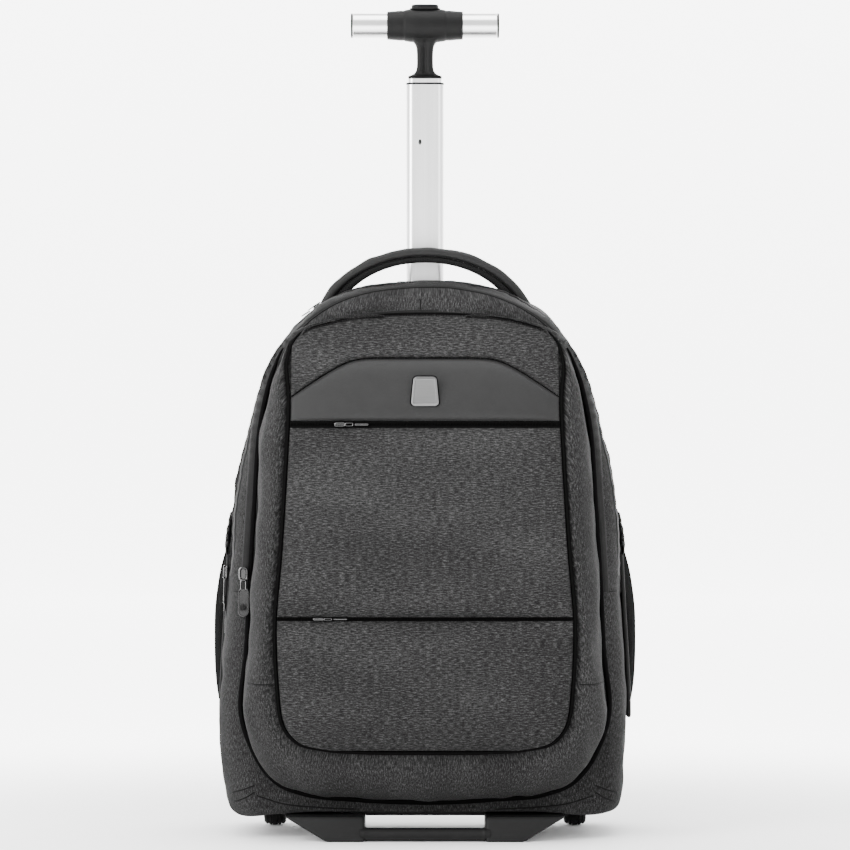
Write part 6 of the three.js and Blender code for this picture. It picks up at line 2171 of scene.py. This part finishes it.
def slab_part(width, length, low, high, corner, soft=0.35):
    """A rounded rectangle with soft edges, standing between two levels."""
    steps = [(soft, low), (0, low + soft), (0, high - soft), (soft * 0.3, high - soft * 0.3), (soft, high)]
    rings = []
    for inset, h in steps:
        ring = rounded_rect(width, length, corner, inset)
        rings.append(np.column_stack([ring, np.full(len(ring), h)]))
    return stack(rings)


def ring_part(width, length, radius, middle_down, out, corner=1.6):
    """A round wire bent into a closed rounded rectangle."""
    loop = even_steps(rounded_rect(width, length, corner), 49)
    line = np.column_stack([loop[:, 0], loop[:, 1] + middle_down, np.full(49, out)])
    return cord_part(line, radius, 8, shut=True)


def turned_onto(part, origin, across, down, out):
    """Flat coordinates become places: across, down and out from an origin. Where the three
    directions make a mirror image, the faces are turned back."""
    axes = np.stack([across, down, out])
    spots = np.asarray(origin) + part["spots"] @ axes
    faces = part["faces"] if np.linalg.det(axes) > 0 else part["faces"][:, ::-1]
    return {"spots": spots, "faces": faces, "uv": part["uv"]}


def slider_body():
    """A lower plate, a narrower upper one, and a tall open frame that the pull hangs from."""
    return joined(
        slab_part(8.6, 11.6, 0.1, 1.5, 2.4),
        slab_part(4.4, 9.6, 1.4, 2.5, 1.6),
        ring_part(6.6, 10.6, 0.75, -0.4, 3.2, 2.6),
    )


# %% Where each slider sits
def outline_frame(z):
    """On the bag's left outline at a height: the place, the rising and the outward direction."""
    x = float(bag_half_width(z))
    ahead = np.array([float(bag_half_width(z + 1.0)) - float(bag_half_width(z - 1.0)), 0, 2.0])
    rising_way = ahead / np.linalg.norm(ahead)
    outward_way = np.array([rising_way[2], 0, -rising_way[0]])
    flip = np.array([-1.0, 1, 1])
    return np.array([x, zip_y, z]) * flip, rising_way * flip, outward_way * flip


def make_slider(place, body_part, pull_part):
    """A slider and its pull, each in place of its own solid."""
    for kind, part in (("slider", body_part), ("pull", pull_part)):
        make_piece(
            f"{place}_{kind}", part, slider_metal,
            instead_of=[f"{place}_zip_{kind}"], sharp=32,
        )


slider_z = zip_foot + 12 * 1.4
front_low, front_high = node_box("front_zip_slider")
front_spot = np.array([(front_low[0] + front_high[0]) / 2 - 2.5, front_high[1] - 1.0, slider_z])
front_axes = (np.array([1.0, 0, 0]), np.array([0.0, 0, -1]), np.array([0.0, -1, 0]))
front_body = turned_onto(slider_body(), front_spot, *front_axes)
link = ring_part(4.4, 9.0, 0.65, 10.0, 3.0, 1.4)
tab = tab_part(9.8, 13.4, 38.0, 29.6, 2.9, 1.7)
tab["spots"] = tab["spots"] + (0, 0, 2.0)
pull = joined(link, tab)
lean_angle = 0.05
lean_down = np.array([0.0, -math.sin(lean_angle), -math.cos(lean_angle)])
lean_out = np.array([0.0, -math.cos(lean_angle), math.sin(lean_angle)])
front_pull = turned_onto(pull, front_spot, front_axes[0], lean_down, lean_out)
make_slider("front", front_body, front_pull)

# %% The side slider, with its longer pull of link, ring and bar
spot, rise_way, out_way = outline_frame(slider_z)
side_axes = (np.array([0.0, 1, 0]), -rise_way, out_way)
side_body = turned_onto(slider_body(), spot + out_way * 0.9, *side_axes)
side_pull_flat = joined(
    ring_part(3.6, 17.0, 0.65, 13.8, 2.6, 1.3),
    ring_part(6.4, 7.0, 0.85, 24.5, 2.4, 3.1),
    ring_part(3.6, 7.6, 0.7, 30.5, 1.9, 1.5),
    tab_part(6.4, 33.2, 55.0, 50.2, 1.5, 1.5),
)
side_down = unit(-rise_way + out_way * -0.03)
side_out = np.cross(side_down, side_axes[0])
side_out = unit(side_out * np.sign(side_out @ out_way))
side_pull = turned_onto(side_pull_flat, spot + out_way, side_axes[0], side_down, side_out)
make_slider("side", side_body, side_pull)

# %% The slider beside the handle's left foot
spot, rise_way, out_way = outline_frame(bag_lift + bag_height * 0.951)
small_body = slider_body()
small_body["spots"] = small_body["spots"] * 0.7
top_body = turned_onto(small_body, spot + out_way * 0.3, np.array([0.0, 1, 0]), -rise_way, out_way)
short_pull = joined(ring_part(4.0, 7.0, 0.6, 8.6, 2.8, 1.4), tab_part(7.6, 11.0, 24.0, 18.6, 2.1, 1.5))
short_pull["spots"] = short_pull["spots"] * 0.7
top_pull = turned_onto(short_pull, spot + out_way * 0.3, np.array([0.0, 1, 0]), -rise_way, out_way)
make_slider("top", top_body, top_pull)

# %% The two pocket sliders, lying in their gaps with their pulls along the zip
for name, height, x, tall in (("upper", upper_zip, -75.0, 5.0), ("lower", lower_zip, -93.0, 3.0)):
    skin = face_y(x, height) - 0.8
    axes = (np.array([0.0, 0, 1.0]), np.array([1.0, 0, 0]), np.array([0.0, -1, 0]))
    pull_bar = slab_part(tall * 0.42, 12.0, 2.0, 2.8, 1.0)
    pull_bar["spots"][:, 1] += 19.4
    thing = joined(
        slab_part(tall * 0.7, 9.0, 0.0, 1.4, 1.2),
        slab_part(tall * 0.6, 8.0, 1.5, 2.6, 1.0),
        ring_part(tall * 0.62, 8.2, 0.5, 0.4, 3.1, 1.0),
        ring_part(tall * 0.5, 6.4, 0.45, 8.6, 2.7, 0.9),
        pull_bar,
    )
    made = turned_onto(thing, (x, skin, height), *axes)
    make_piece(
        f"{name}_gap_slider", made, slider_metal, instead_of=[f"{name}_pocket_slider"],
        sharp=32,
    )

# %% Count the faces, and finish
print("faces in all:", sum(piece_count.values()))
